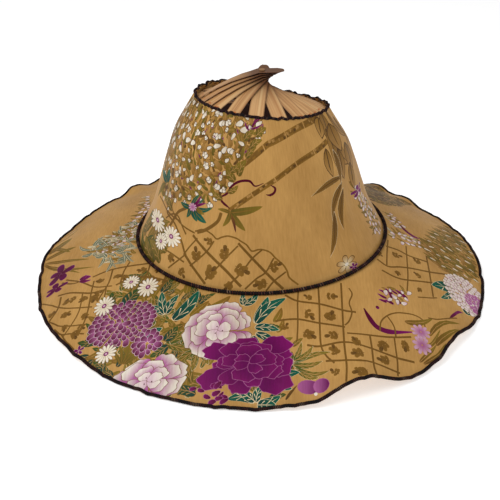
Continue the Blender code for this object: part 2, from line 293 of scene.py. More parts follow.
def mesh_object(name, places, faces, smooth=True):
    mesh = bpy.data.meshes.new(name)
    mesh.from_pydata((np.asarray(places) + MIDDLE).tolist(), [], faces)
    if smooth:
        mesh.shade_smooth()
    made = bpy.data.objects.new(name, mesh)
    scene.collection.objects.link(made)
    return made


def grid_faces(steps_u, steps_v, closed_u=False, closed_v=False):
    """Quads of a grid whose corner (i, j) is number i * rows + j; a closed way joins up."""
    rows = steps_v if closed_v else steps_v + 1
    columns = steps_u if closed_u else steps_u + 1
    i, j = np.meshgrid(np.arange(steps_u), np.arange(steps_v), indexing="ij")
    i, j = i.ravel(), j.ravel()
    right, up = (i + 1) % columns, (j + 1) % rows
    quads = np.stack([i * rows + j, right * rows + j, right * rows + up, i * rows + up], axis=1)
    return quads.tolist()


def add_uv(mesh, corners):
    """A UV map with one place for each vertex."""
    index = np.empty(len(mesh.loops), np.int32)
    mesh.loops.foreach_get("vertex_index", index)
    layer = mesh.uv_layers.new(name="pattern")
    layer.data.foreach_set("uv", np.asarray(corners, np.float32)[index].ravel())


def add_values(mesh, name, values):
    """A value for each vertex, which a material reads by its name."""
    layer = mesh.attributes.new(name, 'FLOAT', 'POINT')
    layer.data.foreach_set("value", values.astype(np.float32))


# Print: flat shapes in painter's order. Colours are given as on a screen, 0 to 255
def tone(red, green, blue):
    """The linear colour of one given as on a screen."""
    return tuple((c / 255) ** 2.2 for c in (red, green, blue))


INKS = {
    # name: as on a screen
    "ground": (190, 146, 86),
    # lining: the crown's inner face, its dark colour a painted shade inside the crown
    "lining": (64, 36, 28),
    "reverse": (196, 156, 104),
    "gold": (132, 96, 42),
    "brown": (116, 84, 38),
    "dark": (84, 60, 34),
    "tan": (176, 134, 78),
    "olive": (128, 108, 40),
    "olive_dark": (92, 80, 34),
    "green": (66, 84, 36),
    "teal": (24, 96, 78),
    "teal_dark": (22, 62, 58),
    "white": (232, 224, 212),
    "cream": (226, 206, 168),
    "pale": (206, 190, 168),
    "lilac": (172, 96, 152),
    "lilac_light": (206, 168, 190),
    "purple": (100, 4, 84),
    "purple_light": (164, 92, 142),
    "maroon": (80, 8, 36),
    "plum": (120, 20, 96),
    "grey": (140, 136, 112),
    "teal_grey": (84, 104, 88),
}
INK = {name: tone(*screen) for name, screen in INKS.items()}


class Print:
    """Outlines in the flat pattern; each has two colours that run into each other along a line."""

    def __init__(self, seed, widening=lambda y: 1.0):
        self.rng = np.random.default_rng(seed)
        self.widening = widening
        self.outlines = []
        self.ramps = []
        self.grounds = 0

    def ground(self, outline):
        """A plain shape under the print; the cloth ends or turns at its outline."""
        self.add(outline, "ground")
        self.grounds += 1

    def add(self, outline, colour, second=None, start=None, end=None):
        outline = np.asarray(outline, float)
        if start is None:
            start, end = outline[0], outline[len(outline) // 2]
        x, y = outline.T
        if np.sum(x * np.roll(y, -1) - y * np.roll(x, -1)) < 0:
            outline = outline[::-1]
        self.outlines.append(outline)
        self.ramps.append((*start, *end, *INK[colour], *INK[second or colour]))

    def drawn(self):
        """Outline and ramp of each shape so far, without the plain ground."""
        return list(zip(self.outlines[self.grounds:], self.ramps[self.grounds:]))

    def copy_under(self, shapes, move, allowed):
        """Moved copies of shapes, for the side of the hat that the print hasn't reached.

        They go under the rest and over the plain ground. A copy that isn't allowed where it lands is
        left out.
        """
        outlines, ramps = [], []
        for outline, line in shapes:
            moved = move(outline)
            if allowed(moved):
                start, end = move(np.array((line[0:2], line[2:4])))
                outlines.append(moved)
                ramps.append((*start, *end, *line[4:]))
        self.outlines[self.grounds:self.grounds] = outlines
        self.ramps[self.grounds:self.grounds] = ramps


def ring_of(count):
    return np.linspace(0, 2 * pi, count, endpoint=False)


def spun(points, angle, centre=(0, 0), wide=1.0, high=1.0):
    """Points turned by an angle, then stretched and moved to a centre."""
    c, s = cos(angle), sin(angle)
    points = np.asarray(points, float)
    return np.stack([(points[..., 0] * c - points[..., 1] * s) * wide + centre[0],
                     (points[..., 0] * s + points[..., 1] * c) * high + centre[1]], axis=-1)


def petal(width, count=12, taper=0.45):
    """A petal from the origin to (0, 1), narrow at its foot, with a blunt tip."""
    t = ring_of(count)
    y = (1 - np.cos(t)) / 2
    blunt = np.sign(np.sin(t)) * np.abs(np.sin(t)) ** 0.85
    return np.stack([width / 2 * blunt * (1 - taper + taper * y), y], axis=-1)


def broad_petal(width, scallop, phase, count=30):
    """A petal from the origin to (0, 1) with a wide, scalloped rim, like a fan with round corners."""
    t = ring_of(count) - pi / 2
    c, s = np.cos(t), np.sin(t)
    x = np.sign(c) * np.abs(c) ** 0.72
    y = 0.5 + 0.5 * np.sign(s) * np.abs(s) ** 0.80
    rim = np.clip((y - 0.45) / 0.4, 0, 1)
    scallops = np.cos(7.5 * x + phase) + 0.6 * np.cos(13 * x - 2 * phase)
    y = y + scallop * rim * scallops - 0.10 * rim * x ** 2
    return np.stack([width / 2 * x * (0.30 + 0.70 * np.clip(y, 0, 1) ** 0.7), y], axis=-1)


def swollen(outline, by):
    middle = outline.mean(axis=0)
    away = outline - middle
    size = np.linalg.norm(away, axis=1).mean()
    return middle + away * (1 + by / size)


def rimmed(p, outline, rim, by, colour, second=None):
    """A shape over a slightly larger one in the rim's colour."""
    p.add(swollen(outline, by), rim)
    p.add(outline, colour, second)


def petal_ring(p, centre, wide, high, count, reach, inner, width, colours, rim, by, turn=0.0, lobes=0.0,
               pale_from=0.0, uneven=0.0, veins=0):
    """Petals side by side round a centre, from inner to reach, both shares of the flower's size.

    A petal keeps its first colour up to pale_from of its length; uneven varies size and place.
    """
    for k in range(count):
        angle = turn + 2 * pi * (k + p.rng.uniform(-uneven, uneven)) / count
        far = reach * (1 + p.rng.uniform(-uneven, uneven) * 0.5)

        def spread(shape):
            return spun(shape * (1, far - inner) + (0, inner), angle, centre, wide / 2, high / 2)

        broad = width * (1 + p.rng.uniform(-uneven, uneven))
        outline = spread(broad_petal(broad, lobes, p.rng.uniform(0, 6)) if lobes else petal(broad))
        start, end = spread(np.array([(0, pale_from), (0, 0.97)]))
        p.add(swollen(outline, by), rim)
        p.add(outline, colours[0], colours[1], start, end)
        for vein in range(veins):
            lean = (vein + 0.5) / veins - 0.5
            line = spread(np.array([(lean * width * 0.25, 0.25), (lean * width * 0.7, 0.8)]))
            ribbon(p, line, 0.28, colours[0], colours[1], True)


def oval(centre, wide, high, count=8):
    t = ring_of(count)
    return np.stack([centre[0] + wide / 2 * np.cos(t), centre[1] + high / 2 * np.sin(t)], axis=1)


def dot(p, centre, wide, high, colour):
    p.add(oval(centre, wide, high), colour)


def daisy(p, centre, wide, high):
    petal_ring(p, centre, wide, high, 14, 1.0, 0.12, 0.31, ("cream", "white"), "brown", 0.34,
               pale_from=-0.6, turn=p.rng.uniform(0, 0.5))
    dot(p, centre, wide * 0.24, high * 0.24, "plum")
    dot(p, centre, wide * 0.12, high * 0.12, "lilac_light")


PEONY_RINGS = (
    # petals, reach, inner, width, turn, pale from
    (8, 1.00, 0.34, 0.86, 0.26, 0.55),
    (6, 0.82, 0.20, 0.80, 0.70, 0.42),
    (5, 0.58, 0.10, 0.62, 0.20, 0.30),
)
PURPLE_PEONY_RINGS = (
    # petals, reach, inner, width, turn, uneven
    (9, 1.00, 0.30, 0.74, 0.10, 0.42),
    (7, 0.80, 0.20, 0.70, 0.50, 0.30),
    (5, 0.56, 0.05, 0.62, 0.20, 0.20),
    (4, 0.34, 0.00, 0.40, 0.60, 0.20),
)
PEONY_RIM = 0.34


def peony(p, centre, wide, high):
    """Broad scalloped petals, lilac inside and white at the rim, the inner ones smaller and paler."""
    for count, reach, inner, width, turn, pale in PEONY_RINGS:
        petal_ring(p, centre, wide, high, count, reach, inner, width, ("lilac", "white"),
                   "brown", PEONY_RIM, turn, 0.04, pale, 0.2, 2)
    petal_ring(p, centre, wide, high, 4, 0.36, 0.0, 0.40, ("lilac_light", "white"),
               "brown", PEONY_RIM * 0.8, 0.7, 0.03, 0.0, 0.2)
    for angle in (0.3, 2.5, 4.4):
        dot(p, spun((0, 0.12), angle, centre, wide / 2, high / 2), 1.0, 1.0, "maroon")


def peony_purple(p, centre, wide, high):
    for count, reach, inner, width, turn, uneven in PURPLE_PEONY_RINGS:
        petal_ring(p, centre, wide, high, count, reach, inner, width, ("purple", "plum"),
                   "purple_light", 0.36, turn, 0.045, 0.5, uneven, 1)


def chrysanthemum(p, centre, wide, high, colours=("purple_light", "maroon"), rim="lilac_light", size=5.0):
    """A dome of short petals laid like scales, the outer rows first."""
    rows = max(2, int(min(wide, high) / 2 / size * 1.5))
    for row in range(rows, 0, -1):
        share = row / rows
        count = max(5, int(pi * share * (wide + high) / 2 / (size * 0.86)))
        for k in range(count):
            angle = 2 * pi * (k + 0.5 * (row % 2)) / count
            at = spun((0, share * 0.5 * (1 - size / (wide + high))), angle, centre, wide, high)
            shape = (petal(0.80, count=10, taper=0.3) - (0, 0.5)) * size * p.rng.uniform(0.85, 1.3)
            at = at + p.rng.uniform(-0.12, 0.12, 2) * size
            rimmed(p, spun(shape, angle + p.rng.uniform(-0.35, 0.35), at), rim, 0.30, *colours)


def white_chrysanthemum(p, centre, wide, high):
    """A pale dome with a smaller, darker one on it."""
    chrysanthemum(p, centre, wide, high, ("lilac_light", "white"), "gold", 4.2)
    at = (centre[0] + wide * 0.2, centre[1] - high * 0.12)
    chrysanthemum(p, at, wide * 0.5, high * 0.5, ("lilac", "purple_light"), "lilac_light", 3.4)


def iris(p, centre, wide, high):
    for angle, reach, width in ((0.2, 1.0, 0.62), (1.2, 0.8, 0.55), (2.4, 0.9, 0.66), (3.6, 0.8, 0.6),
                                (4.9, 0.9, 0.6)):
        shape = petal(width) * (1, reach)
        rimmed(p, spun(shape, angle, centre, wide / 2, high / 2), "purple_light", 0.15, "maroon", "purple")


def maroon_cluster(p, centre, wide, high):
    for k in range(12):
        at = np.array(centre) + p.rng.uniform(-0.42, 0.42, 2) * (wide, high)
        shape = (petal(0.6, count=8) - (0, 0.5)) * p.rng.uniform(4.5, 6.5)
        rimmed(p, spun(shape, p.rng.uniform(0.8, 2.4), at), "lilac", 0.25, "maroon", "plum")


def violet_bud(p, centre, wide, high):
    for shift, size in ((-0.16, 0.62), (0.22, 0.46)):
        at = (centre[0] + shift * wide, centre[1] + 0.1 * shift * high)
        rimmed(p, oval(at, size * wide, high, 14), "purple_light", 0.3, "purple", "lilac")
    dot(p, (centre[0] + 0.05 * wide, centre[1] - high * 0.5), 2.5, 2.0, "white")


def small_flower(p, centre, wide, high):
    petal_ring(p, centre, wide, high, 5, 1.0, 0.1, 0.62, ("plum", "purple"), "lilac_light", 0.2)


def lilac_flower(p, centre, wide, high):
    petal_ring(p, centre, wide, high, 9, 1.0, 0.1, 0.46, ("purple_light", "lilac_light"), "lilac", 0.15)


def outline_flower(p, centre, wide, high):
    petal_ring(p, centre, wide, high, 6, 1.0, 0.15, 0.60, ("cream", "tan"), "dark", 0.45)
    dot(p, centre, wide * 0.2, high * 0.2, "white")


def leaf(p, base, tip, width, kind):
    """A leaf from base to tip, with its midrib and side veins as the kind says."""
    look = {**PLAIN_LEAF, **LEAVES[kind]}
    width = width * look["broader"]
    base, tip = np.array(base, float), np.array(tip, float)
    along = tip - base
    length = np.hypot(*along)
    angle = np.arctan2(-along[0], along[1])
    bend = p.rng.uniform(-0.12, 0.12)
    t = ring_of(16)
    y = (1 - np.cos(t)) / 2
    x = 0.56 * np.sign(np.sin(t)) * np.abs(np.sin(t)) ** (0.85 + look["slim"]) * (1 - y) ** 0.30

    def bent(across, up):
        """Across in leaf widths, up in leaf lengths."""
        across = np.asarray(across) * width + bend * length * np.sin(pi * np.asarray(up))
        return spun(np.stack([across, np.asarray(up) * length], axis=-1), angle, base)

    outline = bent(x, y)
    if look["rim"]:
        p.add(swollen(outline, look["by"]), look["rim"])
    p.add(outline, look["base"], look["tip"], base, tip)
    if look["vein"]:
        thin = look["thin"]
        side = thin / width / 2
        ups = np.array((0.02, 0.3, 0.6, 0.9))
        p.add(np.concatenate([bent((-side, -side, -side, 0), ups), bent((side, side, side), ups[2::-1])]),
              look["vein"])
        for k in range(look["veins"]):
            up = 0.15 + 0.6 * k / max(1, look["veins"])
            for hand in (-1, 1):
                p.add(bent((0, hand * 0.36, hand * 0.30), (up, up + 0.20, up + 0.20 + 1.5 * thin / length)),
                      look["vein"])


# A leaf's colours at its base and tip, its rim and how far that stands out, its midrib and how thick that
# is, the pairs of side veins, how much broader than its row says, and how slim towards its ends
PLAIN_LEAF = dict(rim=None, by=0, vein=None, thin=0, veins=0, broader=1.0, slim=0.0)
LEAVES = {
    "teal": dict(base="teal_dark", tip="teal", rim="cream", by=0.34, vein="cream", thin=0.40, veins=2,
                 broader=1.3),
    "green": dict(base="teal_dark", tip="green", rim="gold", by=0.28, vein="tan", thin=0.42, veins=3),
    "olive": dict(base="olive_dark", tip="olive", rim="gold", by=0.25, vein="gold", thin=0.5),
    "olive_big": dict(base="green", tip="olive", rim="cream", by=0.20, vein="tan", thin=0.5, veins=3),
    "olive_lit": dict(base="olive_dark", tip="olive", rim="gold", by=0.3, vein="tan", thin=0.4, veins=2),
    "brown": dict(base="brown", tip="maroon"),
    "tan_thin": dict(base="gold", tip="tan", rim="brown", by=0.25),
    "brown_thin": dict(base="dark", tip="brown"),
    "bamboo": dict(base="brown", tip="gold", rim="cream", by=0.42, vein="dark", thin=0.5, broader=1.3,
                   slim=0.7),
    "bamboo_line": dict(base="gold", tip="tan", rim="dark", by=0.9, vein="dark", thin=1.2, broader=1.15,
                        slim=0.7),
    "teal_grey": dict(base="teal_grey", tip="grey", rim="cream", by=0.25, vein="cream", thin=0.35),
    "teal_dim": dict(base="teal_dark", tip="teal", rim="olive", by=0.3, vein="olive", thin=0.35),
    "maroon_leaf": dict(base="maroon", tip="plum", rim="lilac", by=0.15),
    "foliage": dict(base="olive_dark", tip="green", rim="gold", by=0.3, vein="gold", thin=0.5),
    "grass": dict(base="brown", tip="olive", rim="brown", by=0.2, vein="tan", thin=0.4),
    "fill": dict(base="olive", tip="gold", rim="brown", by=0.25, vein="tan", thin=0.35),
    "fill_dark": dict(base="olive_dark", tip="olive", rim="tan", by=0.2),
    "pale": dict(base="grey", tip="cream", rim="brown", by=0.2),
}


def smooth_path(points, steps=6):
    """A Catmull-Rom curve through points."""
    points = np.array(points, float)
    padded = np.concatenate([2 * points[:1] - points[1:2], points, 2 * points[-1:] - points[-2:-1]])
    t = np.linspace(0, 1, steps, endpoint=False)[:, None]
    parts = []
    for a, b, c, d in zip(padded, padded[1:], padded[2:], padded[3:]):
        parts.append(0.5 * (2 * b + (c - a) * t + (2 * a - 5 * b + 4 * c - d) * t ** 2
                            + (3 * b - a - 3 * c + d) * t ** 3))
    return np.concatenate(parts + [points[-1:]])


def ribbon(p, path, width, colour, second=None, pointed=False):
    """A band along a path, drawn as short quads so that it may bend and cross itself."""
    ahead = np.gradient(path, axis=0)
    ahead /= np.maximum(np.linalg.norm(ahead, axis=1), 1e-9)[:, None]
    half = np.full(len(path), width / 2)
    if pointed:
        from_end = np.minimum(np.linspace(0, 1, len(path)), np.linspace(1, 0, len(path)))
        half *= np.minimum(1, 0.25 + 3 * from_end)
    side = np.stack([-ahead[:, 1], ahead[:, 0]], axis=1) * half[:, None]
    left, right = path + side, path - side
    p.add(np.concatenate([left, right[::-1]]), colour, second, path[0], path[-1])


def cane(p, points, width):
    """A bamboo cane: one band, mottled darker along its middle, with a pale ring at each joint."""
    path = smooth_path(points, 8)
    run = np.concatenate([[0], np.cumsum(np.linalg.norm(np.diff(path, axis=0), axis=1))])

    def stretch(low, high, steps=5):
        fine = np.linspace(low, high, steps)
        return np.stack([np.interp(fine, run, path[:, c]) for c in (0, 1)], axis=1)

    joints = max(2, int(run[-1] / 19))
    for k in range(joints):
        ribbon(p, stretch(run[-1] * k / joints, run[-1] * (k + 1) / joints, 14), width, "gold", "gold")
    ahead = path[-1] - path[0]
    off = np.array([-ahead[1], ahead[0]]) / np.linalg.norm(ahead) * width
    place = p.rng.uniform(0, 1)
    while place < run[-1] - 3:
        long = p.rng.uniform(2.0, 5.5)
        shift = p.rng.uniform(-0.30, 0.30)
        ribbon(p, stretch(place, min(place + long, run[-1])) + shift * off, width * p.rng.uniform(0.25, 0.5),
               str(p.rng.choice(("brown", "brown", "dark", "tan"))), "brown")
        place += long * p.rng.uniform(0.25, 0.8)
    for k in range(1, joints):
        at = run[-1] * k / joints
        ribbon(p, stretch(at - 0.5, at + 0.5, 3), width * 1.12, "tan", "tan")


def ornament(p, centre, size):
    """A twig with round leaves on both sides of a bent stem, turned at random, in a lattice cell."""
    angle = p.rng.uniform(0, 2 * pi)
    bend = p.rng.uniform(-0.25, 0.25)
    pairs = p.rng.integers(2, 4)
    for k in range(pairs):
        up = -0.42 + 0.62 * k / pairs
        for hand in (-1, 1):
            lean = hand * p.rng.uniform(0.6, 1.2)
            shape = petal(0.85, count=8) * p.rng.uniform(0.40, 0.56)
            at = np.array((bend * up, up))
            p.add(spun(spun(shape, lean, at), angle, centre, size, size), "brown", "gold")
    tip = spun(petal(0.80, count=8) * 0.5, p.rng.uniform(-0.3, 0.3), (0, 0.1))
    p.add(spun(tip, angle, centre, size, size), "dark", "brown")
    stem = np.stack([np.linspace(-0.5, 0.3, 5) * bend, np.linspace(-0.55, 0.3, 5)], axis=1)
    ribbon(p, spun(stem, angle, centre, size, size), 0.5, "brown")


def in_polygon(points, polygon):
    """Whether each point lies inside, by the sides that a line to its right crosses."""
    x, y = points[:, 0], points[:, 1]
    inside = np.zeros(len(points), bool)
    for (x1, y1), (x2, y2) in zip(polygon, np.roll(polygon, -1, axis=0)):
        crosses = (y1 > y) != (y2 > y)
        inside ^= crosses & (x < (x2 - x1) * (y - y1) / (y2 - y1 + 1e-12) + x1)
    return inside


SCATTER_TRIES = 30              # places tried for each square of the spacing


def scattered(p, polygon, spacing):
    """Places inside a polygon that keep a distance from each other."""
    polygon = np.array(polygon, float)
    low, high = polygon.min(axis=0), polygon.max(axis=0)
    count = int(SCATTER_TRIES * np.prod(high - low) / spacing ** 2)
    drawn = p.rng.uniform(low, high, (count, 2))
    drawn = drawn[in_polygon(drawn, polygon)]
    kept = np.empty((0, 2))
    for place in drawn:
        if len(kept) == 0 or ((kept - place) ** 2).sum(axis=1).min() > spacing ** 2:
            kept = np.vstack([kept, place])
    return kept


def leafy(p, polygon, spacing, size, kinds, slant, spread):
    """Leaves of mixed kinds scattered over a polygon, slanted alike but for a random spread."""
    for place in scattered(p, polygon, spacing):
        angle = slant + p.rng.uniform(-spread, spread)
        reach = size * p.rng.uniform(0.7, 1.3)
        tip = place + reach * np.array((-sin(angle), cos(angle)))
        leaf(p, place, tip, reach * p.rng.uniform(0.28, 0.42), str(p.rng.choice(kinds)))


def blossoms(p, polygon):
    """White petals, each outlined, over dense small leaves."""
    leafy(p, polygon, 3.0, 8.5, ("fill", "fill_dark", "fill", "tan_thin", "brown_thin", "tan_thin"), 0.6, 1.3)
    for place in scattered(p, polygon, 6.4):
        size = p.rng.uniform(3.2, 6.0)
        angle = p.rng.uniform(0, 2 * pi)
        wide = p.widening(place[1])
        for scale, lean in ((1.0, 0.0), (0.62, 0.9), (0.5, -1.1))[:p.rng.integers(1, 4)]:
            broad = p.rng.uniform(0.55, 0.95)
            shape = (broad_petal(broad, 0.05, p.rng.uniform(0, 6), 12) - (0, 0.25)) * size * scale
            outline = spun(spun(shape, angle + lean), 0.0, place, wide)
            rimmed(p, outline, "dark", 0.40, "pale", "white")
        if p.rng.uniform() < 0.2:
            side = place + p.rng.uniform(-4, 4, 2)
            leaf(p, side, side + p.rng.uniform(-3.5, 3.5, 2), 1.0, "maroon_leaf")


def foliage(p, polygon):
    leafy(p, polygon, 4.6, 13.0, ("olive_lit", "olive_lit", "green", "fill", "olive_big"), 0.5, 1.5)


def foliage_thin(p, polygon):
    leafy(p, polygon, 7.0, 12.0, ("olive_lit", "fill", "green"), -0.8, 1.2)


def foliage_grey(p, polygon):
    leafy(p, polygon, 3.6, 8.0, ("teal_grey", "teal_grey", "pale", "fill"), 0.9, 0.8)


def foliage_dark(p, polygon):
    leafy(p, polygon, 5.0, 14.0, ("foliage", "olive_lit", "green", "fill"), 0.0, 0.7)


def white_sprig(p, polygon, spacing=4.6, leaves=("pale", "olive", "fill")):
    leafy(p, polygon, 3.4, 6.0, leaves, 0.9, 0.6)
    for place in scattered(p, polygon, spacing):
        shape = (broad_petal(0.8, 0.03, 1.0, 12) - (0, 0.5)) * p.rng.uniform(3.2, 5.2)
        outline = spun(spun(shape, p.rng.uniform(0, 2 * pi)), 0, place, p.widening(place[1]) ** 0.5)
        rimmed(p, outline, "brown", 0.34, "lilac_light", "white")


def white_buds(p, polygon):
    white_sprig(p, polygon, 4.8, ("maroon_leaf", "fill", "maroon_leaf"))


def scales(p, polygon):
    """Olive thicket: small leaves laid one over the other, with pale petals lying among them."""
    leafy(p, polygon, 2.6, 7.5, ("fill", "olive", "fill_dark", "tan_thin"), 1.2, 0.5)
    for place in scattered(p, np.array(polygon) * 0.995, 8.5):
        shape = (petal(0.36, count=8) - (0, 0.5)) * p.rng.uniform(3.5, 6.5)
        rimmed(p, spun(shape, 1.5 + p.rng.uniform(-0.4, 0.4), place), "brown", 0.2, "cream", "white")


def dark_patch(p, polygon):
    leafy(p, polygon, 2.5, 8.0, ("brown_thin", "fill", "brown_thin", "fill_dark"), 1.2, 0.6)


ROUNDS = {
    "daisy": daisy,
    "outline_flower": outline_flower,
    "peony": peony,
    "peony_purple": peony_purple,
    "chrysanthemum": chrysanthemum,
    "white_chrysanthemum": white_chrysanthemum,
    "iris": iris,
    "small_maroon": small_flower,
    "maroon_cluster": maroon_cluster,
    "violet_bud": violet_bud,
    "lilac_flower": lilac_flower,
}
REGIONS = {
    "blossoms": blossoms,
    "white_sprig": white_sprig,
    "white_buds": white_buds,
    "scales": scales,
    "foliage": foliage,
    "foliage_thin": foliage_thin,
    "foliage_dark": foliage_dark,
    "foliage_grey": foliage_grey,
    "dark_patch": dark_patch,
}
PATHS = {
    # colour at its start and end, whether it ends in points, least width
    "line": ("brown", "gold", False, 1.1),
    "lattice": ("brown", "brown", False, 1.1),
    "stem": ("brown", "brown", False, 1.1),
    "tendril": ("maroon", "maroon", True, 1.7),
    "maroon": ("maroon", "plum", True, 1.1),
}


def draw_path(p, kind, width, points):
    if kind == "cane":
        cane(p, points, width)
        return
    colour, second, pointed, least = PATHS[kind]
    ribbon(p, smooth_path(points), max(width, least), colour, second, pointed)


def in_photo(places):
    """Where places show in the photograph, and how far they are from its camera."""
    ahead = np.array([0, cos(CAMERA_TILT), -sin(CAMERA_TILT)])
    up = np.array([0, sin(CAMERA_TILT), cos(CAMERA_TILT)])
    away = places - (np.array([CAMERA_AIM[0], 0, CAMERA_AIM[1]]) - CAMERA_AWAY * ahead)
    far = away @ ahead
    return np.stack([PHOTO_MIDDLE + PHOTO_FOCAL * away[..., 0] / far,
                     PHOTO_MIDDLE - PHOTO_FOCAL * (away @ up) / far, far], axis=-1)


# A net of places on the cloth, in which a picture point is looked up
NET_AZIMUTHS = np.radians(np.arange(-270, 90, 0.25))
NET_SHARES = np.linspace(0, 1, 321)


class Cloth:
    """One piece of cloth, where a place in the photograph is found again in the flat pattern."""

    def __init__(self, point, pattern):
        azimuth, share = np.meshgrid(NET_AZIMUTHS, NET_SHARES, indexing="ij")
        self.azimuth, self.share = np.degrees(azimuth.ravel()), share.ravel()
        self.seen = in_photo(point(azimuth.ravel(), self.share))
        self.pattern = pattern

    def find(self, u, v):
        """The flat place that shows nearest to a picture point, and how far off it shows."""
        off = (self.seen[:, 0] - u) ** 2 + (self.seen[:, 1] - v) ** 2
        near = np.flatnonzero(off < max(off.min() * 1.5, 0.6))
        near = near[self.seen[near, 2] < self.seen[near, 2].min() + 0.01]
        best = near[np.argmin(off[near])]
        azimuth = round(float(self.azimuth[best]), 1)
        return np.array(self.pattern(azimuth, round(float(self.share[best]), 3))), off[best] ** 0.5

    def flat(self, points):
        return [tuple(round(float(c), 1) for c in self.find(*point)[0]) for point in points]

    def sizes(self, middle, halves):
        """Flat width and height of a motif, from those of its sides that lie on the cloth."""
        at, _ = self.find(*middle)
        found = []
        for step in np.diag(halves):
            ends = [self.find(*(np.array(middle) + side * step)) for side in (-1, 1)]
            reach = [np.hypot(*(place - at)) for place, off in ends if off < 1]
            found.append(round(2 * float(np.mean(reach)), 1) if reach else 0.0)
        return found

    def across(self, points, width):
        """Flat width of a band along points, measured square to the band in the flat pattern."""
        measured = []
        drawn = max(width, 3)
        for p, q in zip(np.array(points, float), np.array(points[1:], float)):
            way = (q - p) / max(np.hypot(*(q - p)), 1e-6)
            side = np.array([-way[1], way[0]]) * drawn / 2
            (a, off_a), (b, off_b) = (self.find(*((p + q) / 2 + s)) for s in (side, -side))
            if off_a < 1 and off_b < 1:
                flat_way = self.find(*q)[0] - self.find(*p)[0]
                flat_way /= max(np.hypot(*flat_way), 1e-6)
                apart = a - b
                measured.append(abs(apart[0] * flat_way[1] - apart[1] * flat_way[0]) * width / drawn)
        return float(np.median(measured)) if measured else width * 0.85


def draw_tables(p, cloth, rounds, leaves, paths, ornaments, regions):
    for kind, corners in regions:
        REGIONS[kind](p, cloth.flat(corners))
    for kind, width, points in paths:
        draw_path(p, kind, round(min(cloth.across(points, width), width * 1.3), 1), cloth.flat(points))
    for place, size in ornaments:
        ornament(p, cloth.flat([place])[0], round(size, 1))
    for kind, base, tip, width in leaves:
        leaf(p, *cloth.flat([base, tip]), round(cloth.across((base, tip), width), 1), kind)
    for kind, middle, halves in rounds:
        ROUNDS[kind](p, cloth.flat([middle])[0], *cloth.sizes(middle, halves))


# The layout of the print, picked on the photograph, in picture points from its left top corner.
# Round motifs: kind, middle, half its width and half its height. Leaves: kind, base, tip, width. Paths: kind,
# width, points. Ornaments: middle, size in millimetres. Regions: kind, corners
CROWN_ROUNDS = (
    ("daisy", (157.5, 220), (8, 8.5)),
    ("daisy", (171.2, 236.3), (9.5, 10)),
    ("daisy", (161, 241), (6, 8)),
    ("outline_flower", (347, 264), (10, 9)),
    ("lilac_flower", (193, 207), (4, 4)),
    ("small_maroon", (358, 190), (5, 5)),
    ("small_maroon", (354, 267), (4, 4)),
)
CROWN_LEAVES = (
    ("olive", (230, 213), (262, 206.5), 8),
    ("olive", (230, 213), (245, 230.5), 7),
    ("brown", (230, 213), (236, 233), 3),
    ("olive", (230, 213), (223, 226), 5),
    ("olive", (230, 213), (218, 209), 4),
    ("bamboo", (341.7, 175.8), (311.7, 196.7), 5),
    ("bamboo", (342, 182), (333, 222), 5),
    ("bamboo", (334, 212), (330.5, 257), 5),
    ("bamboo", (343, 188), (343.5, 229), 4.5),
    ("bamboo_line", (321, 113), (333, 147), 8.4),
    ("bamboo_line", (326, 112), (345, 135), 9.6),
    ("bamboo_line", (333, 117), (351, 145), 8.4),
    ("bamboo_line", (326, 130), (340, 174), 7.2),
    ("bamboo_line", (331, 138), (349, 163), 9.6),
    ("bamboo_line", (338, 150), (344, 178), 6),
    ("bamboo_line", (345, 143), (352, 170), 6),
    ("bamboo_line", (350, 163), (354, 188), 4.8),
    ("foliage", (150, 262), (146, 236), 6),
    ("foliage", (152, 264), (153, 238), 6),
    ("foliage", (148, 250), (143, 230), 5),
    ("olive_lit", (235, 181), (226, 168), 8),
    ("olive_lit", (238, 176), (246, 160), 8),
    ("olive_lit", (228, 192), (238, 186), 6),
    ("olive_lit", (246, 158), (256, 146), 7),
    ("olive_lit", (250, 148), (262, 140), 7),
    ("olive_lit", (256, 136), (266, 128), 7),
    ("olive_lit", (244, 140), (254, 130), 7),
    ("olive_lit", (222, 199), (212, 190), 6),
    ("olive_lit", (230, 172), (240, 163), 6),
    ("bamboo_line", (318, 118), (322, 138), 7.2),
    ("bamboo_line", (326, 150), (333, 176), 7.2),
    ("bamboo_line", (329, 124), (341, 150), 9.6),
    ("bamboo", (333, 150), (341, 184), 4),
    ("teal_dim", (191, 207), (181, 202), 5),
    ("teal_dim", (191, 207), (199, 195), 4),
    ("teal_dim", (191, 207), (204, 199), 3.5),
    ("teal_dim", (193, 208), (212, 208), 5),
    ("teal_dim", (193, 209), (206, 223), 7),
    ("teal_dim", (192, 209), (197, 221), 5),
    ("teal_dim", (190, 208), (187, 217), 4),
    ("maroon_leaf", (194, 207), (206, 203), 3),
    ("maroon_leaf", (193, 206), (201, 196), 3),
    ("olive", (196, 208), (204, 214), 4),
    ("olive_lit", (160, 262), (150, 240), 8),
    ("olive_lit", (152, 258), (146, 236), 7),
    ("olive_lit", (146, 232), (150, 216), 6),
    ("olive_lit", (156, 236), (168, 222), 6),
    ("olive_lit", (166, 252), (160, 238), 7),
    ("maroon_leaf", (251, 129), (262, 118), 2),
    ("maroon_leaf", (252, 128), (256, 117), 1.5),
    ("maroon_leaf", (252, 129), (264, 124), 1.5),
    ("teal_dim", (167, 182), (163, 170), 4),
    ("teal_dim", (167, 182), (170, 169), 4),
    ("olive", (166, 184), (158, 196), 4),
    ("olive_lit", (172, 210), (164, 196), 5),
    ("olive_lit", (160, 214), (170, 222), 5),
    ("maroon_leaf", (249, 130), (245, 122), 2),
    ("maroon_leaf", (252, 129), (259, 127), 2),
)
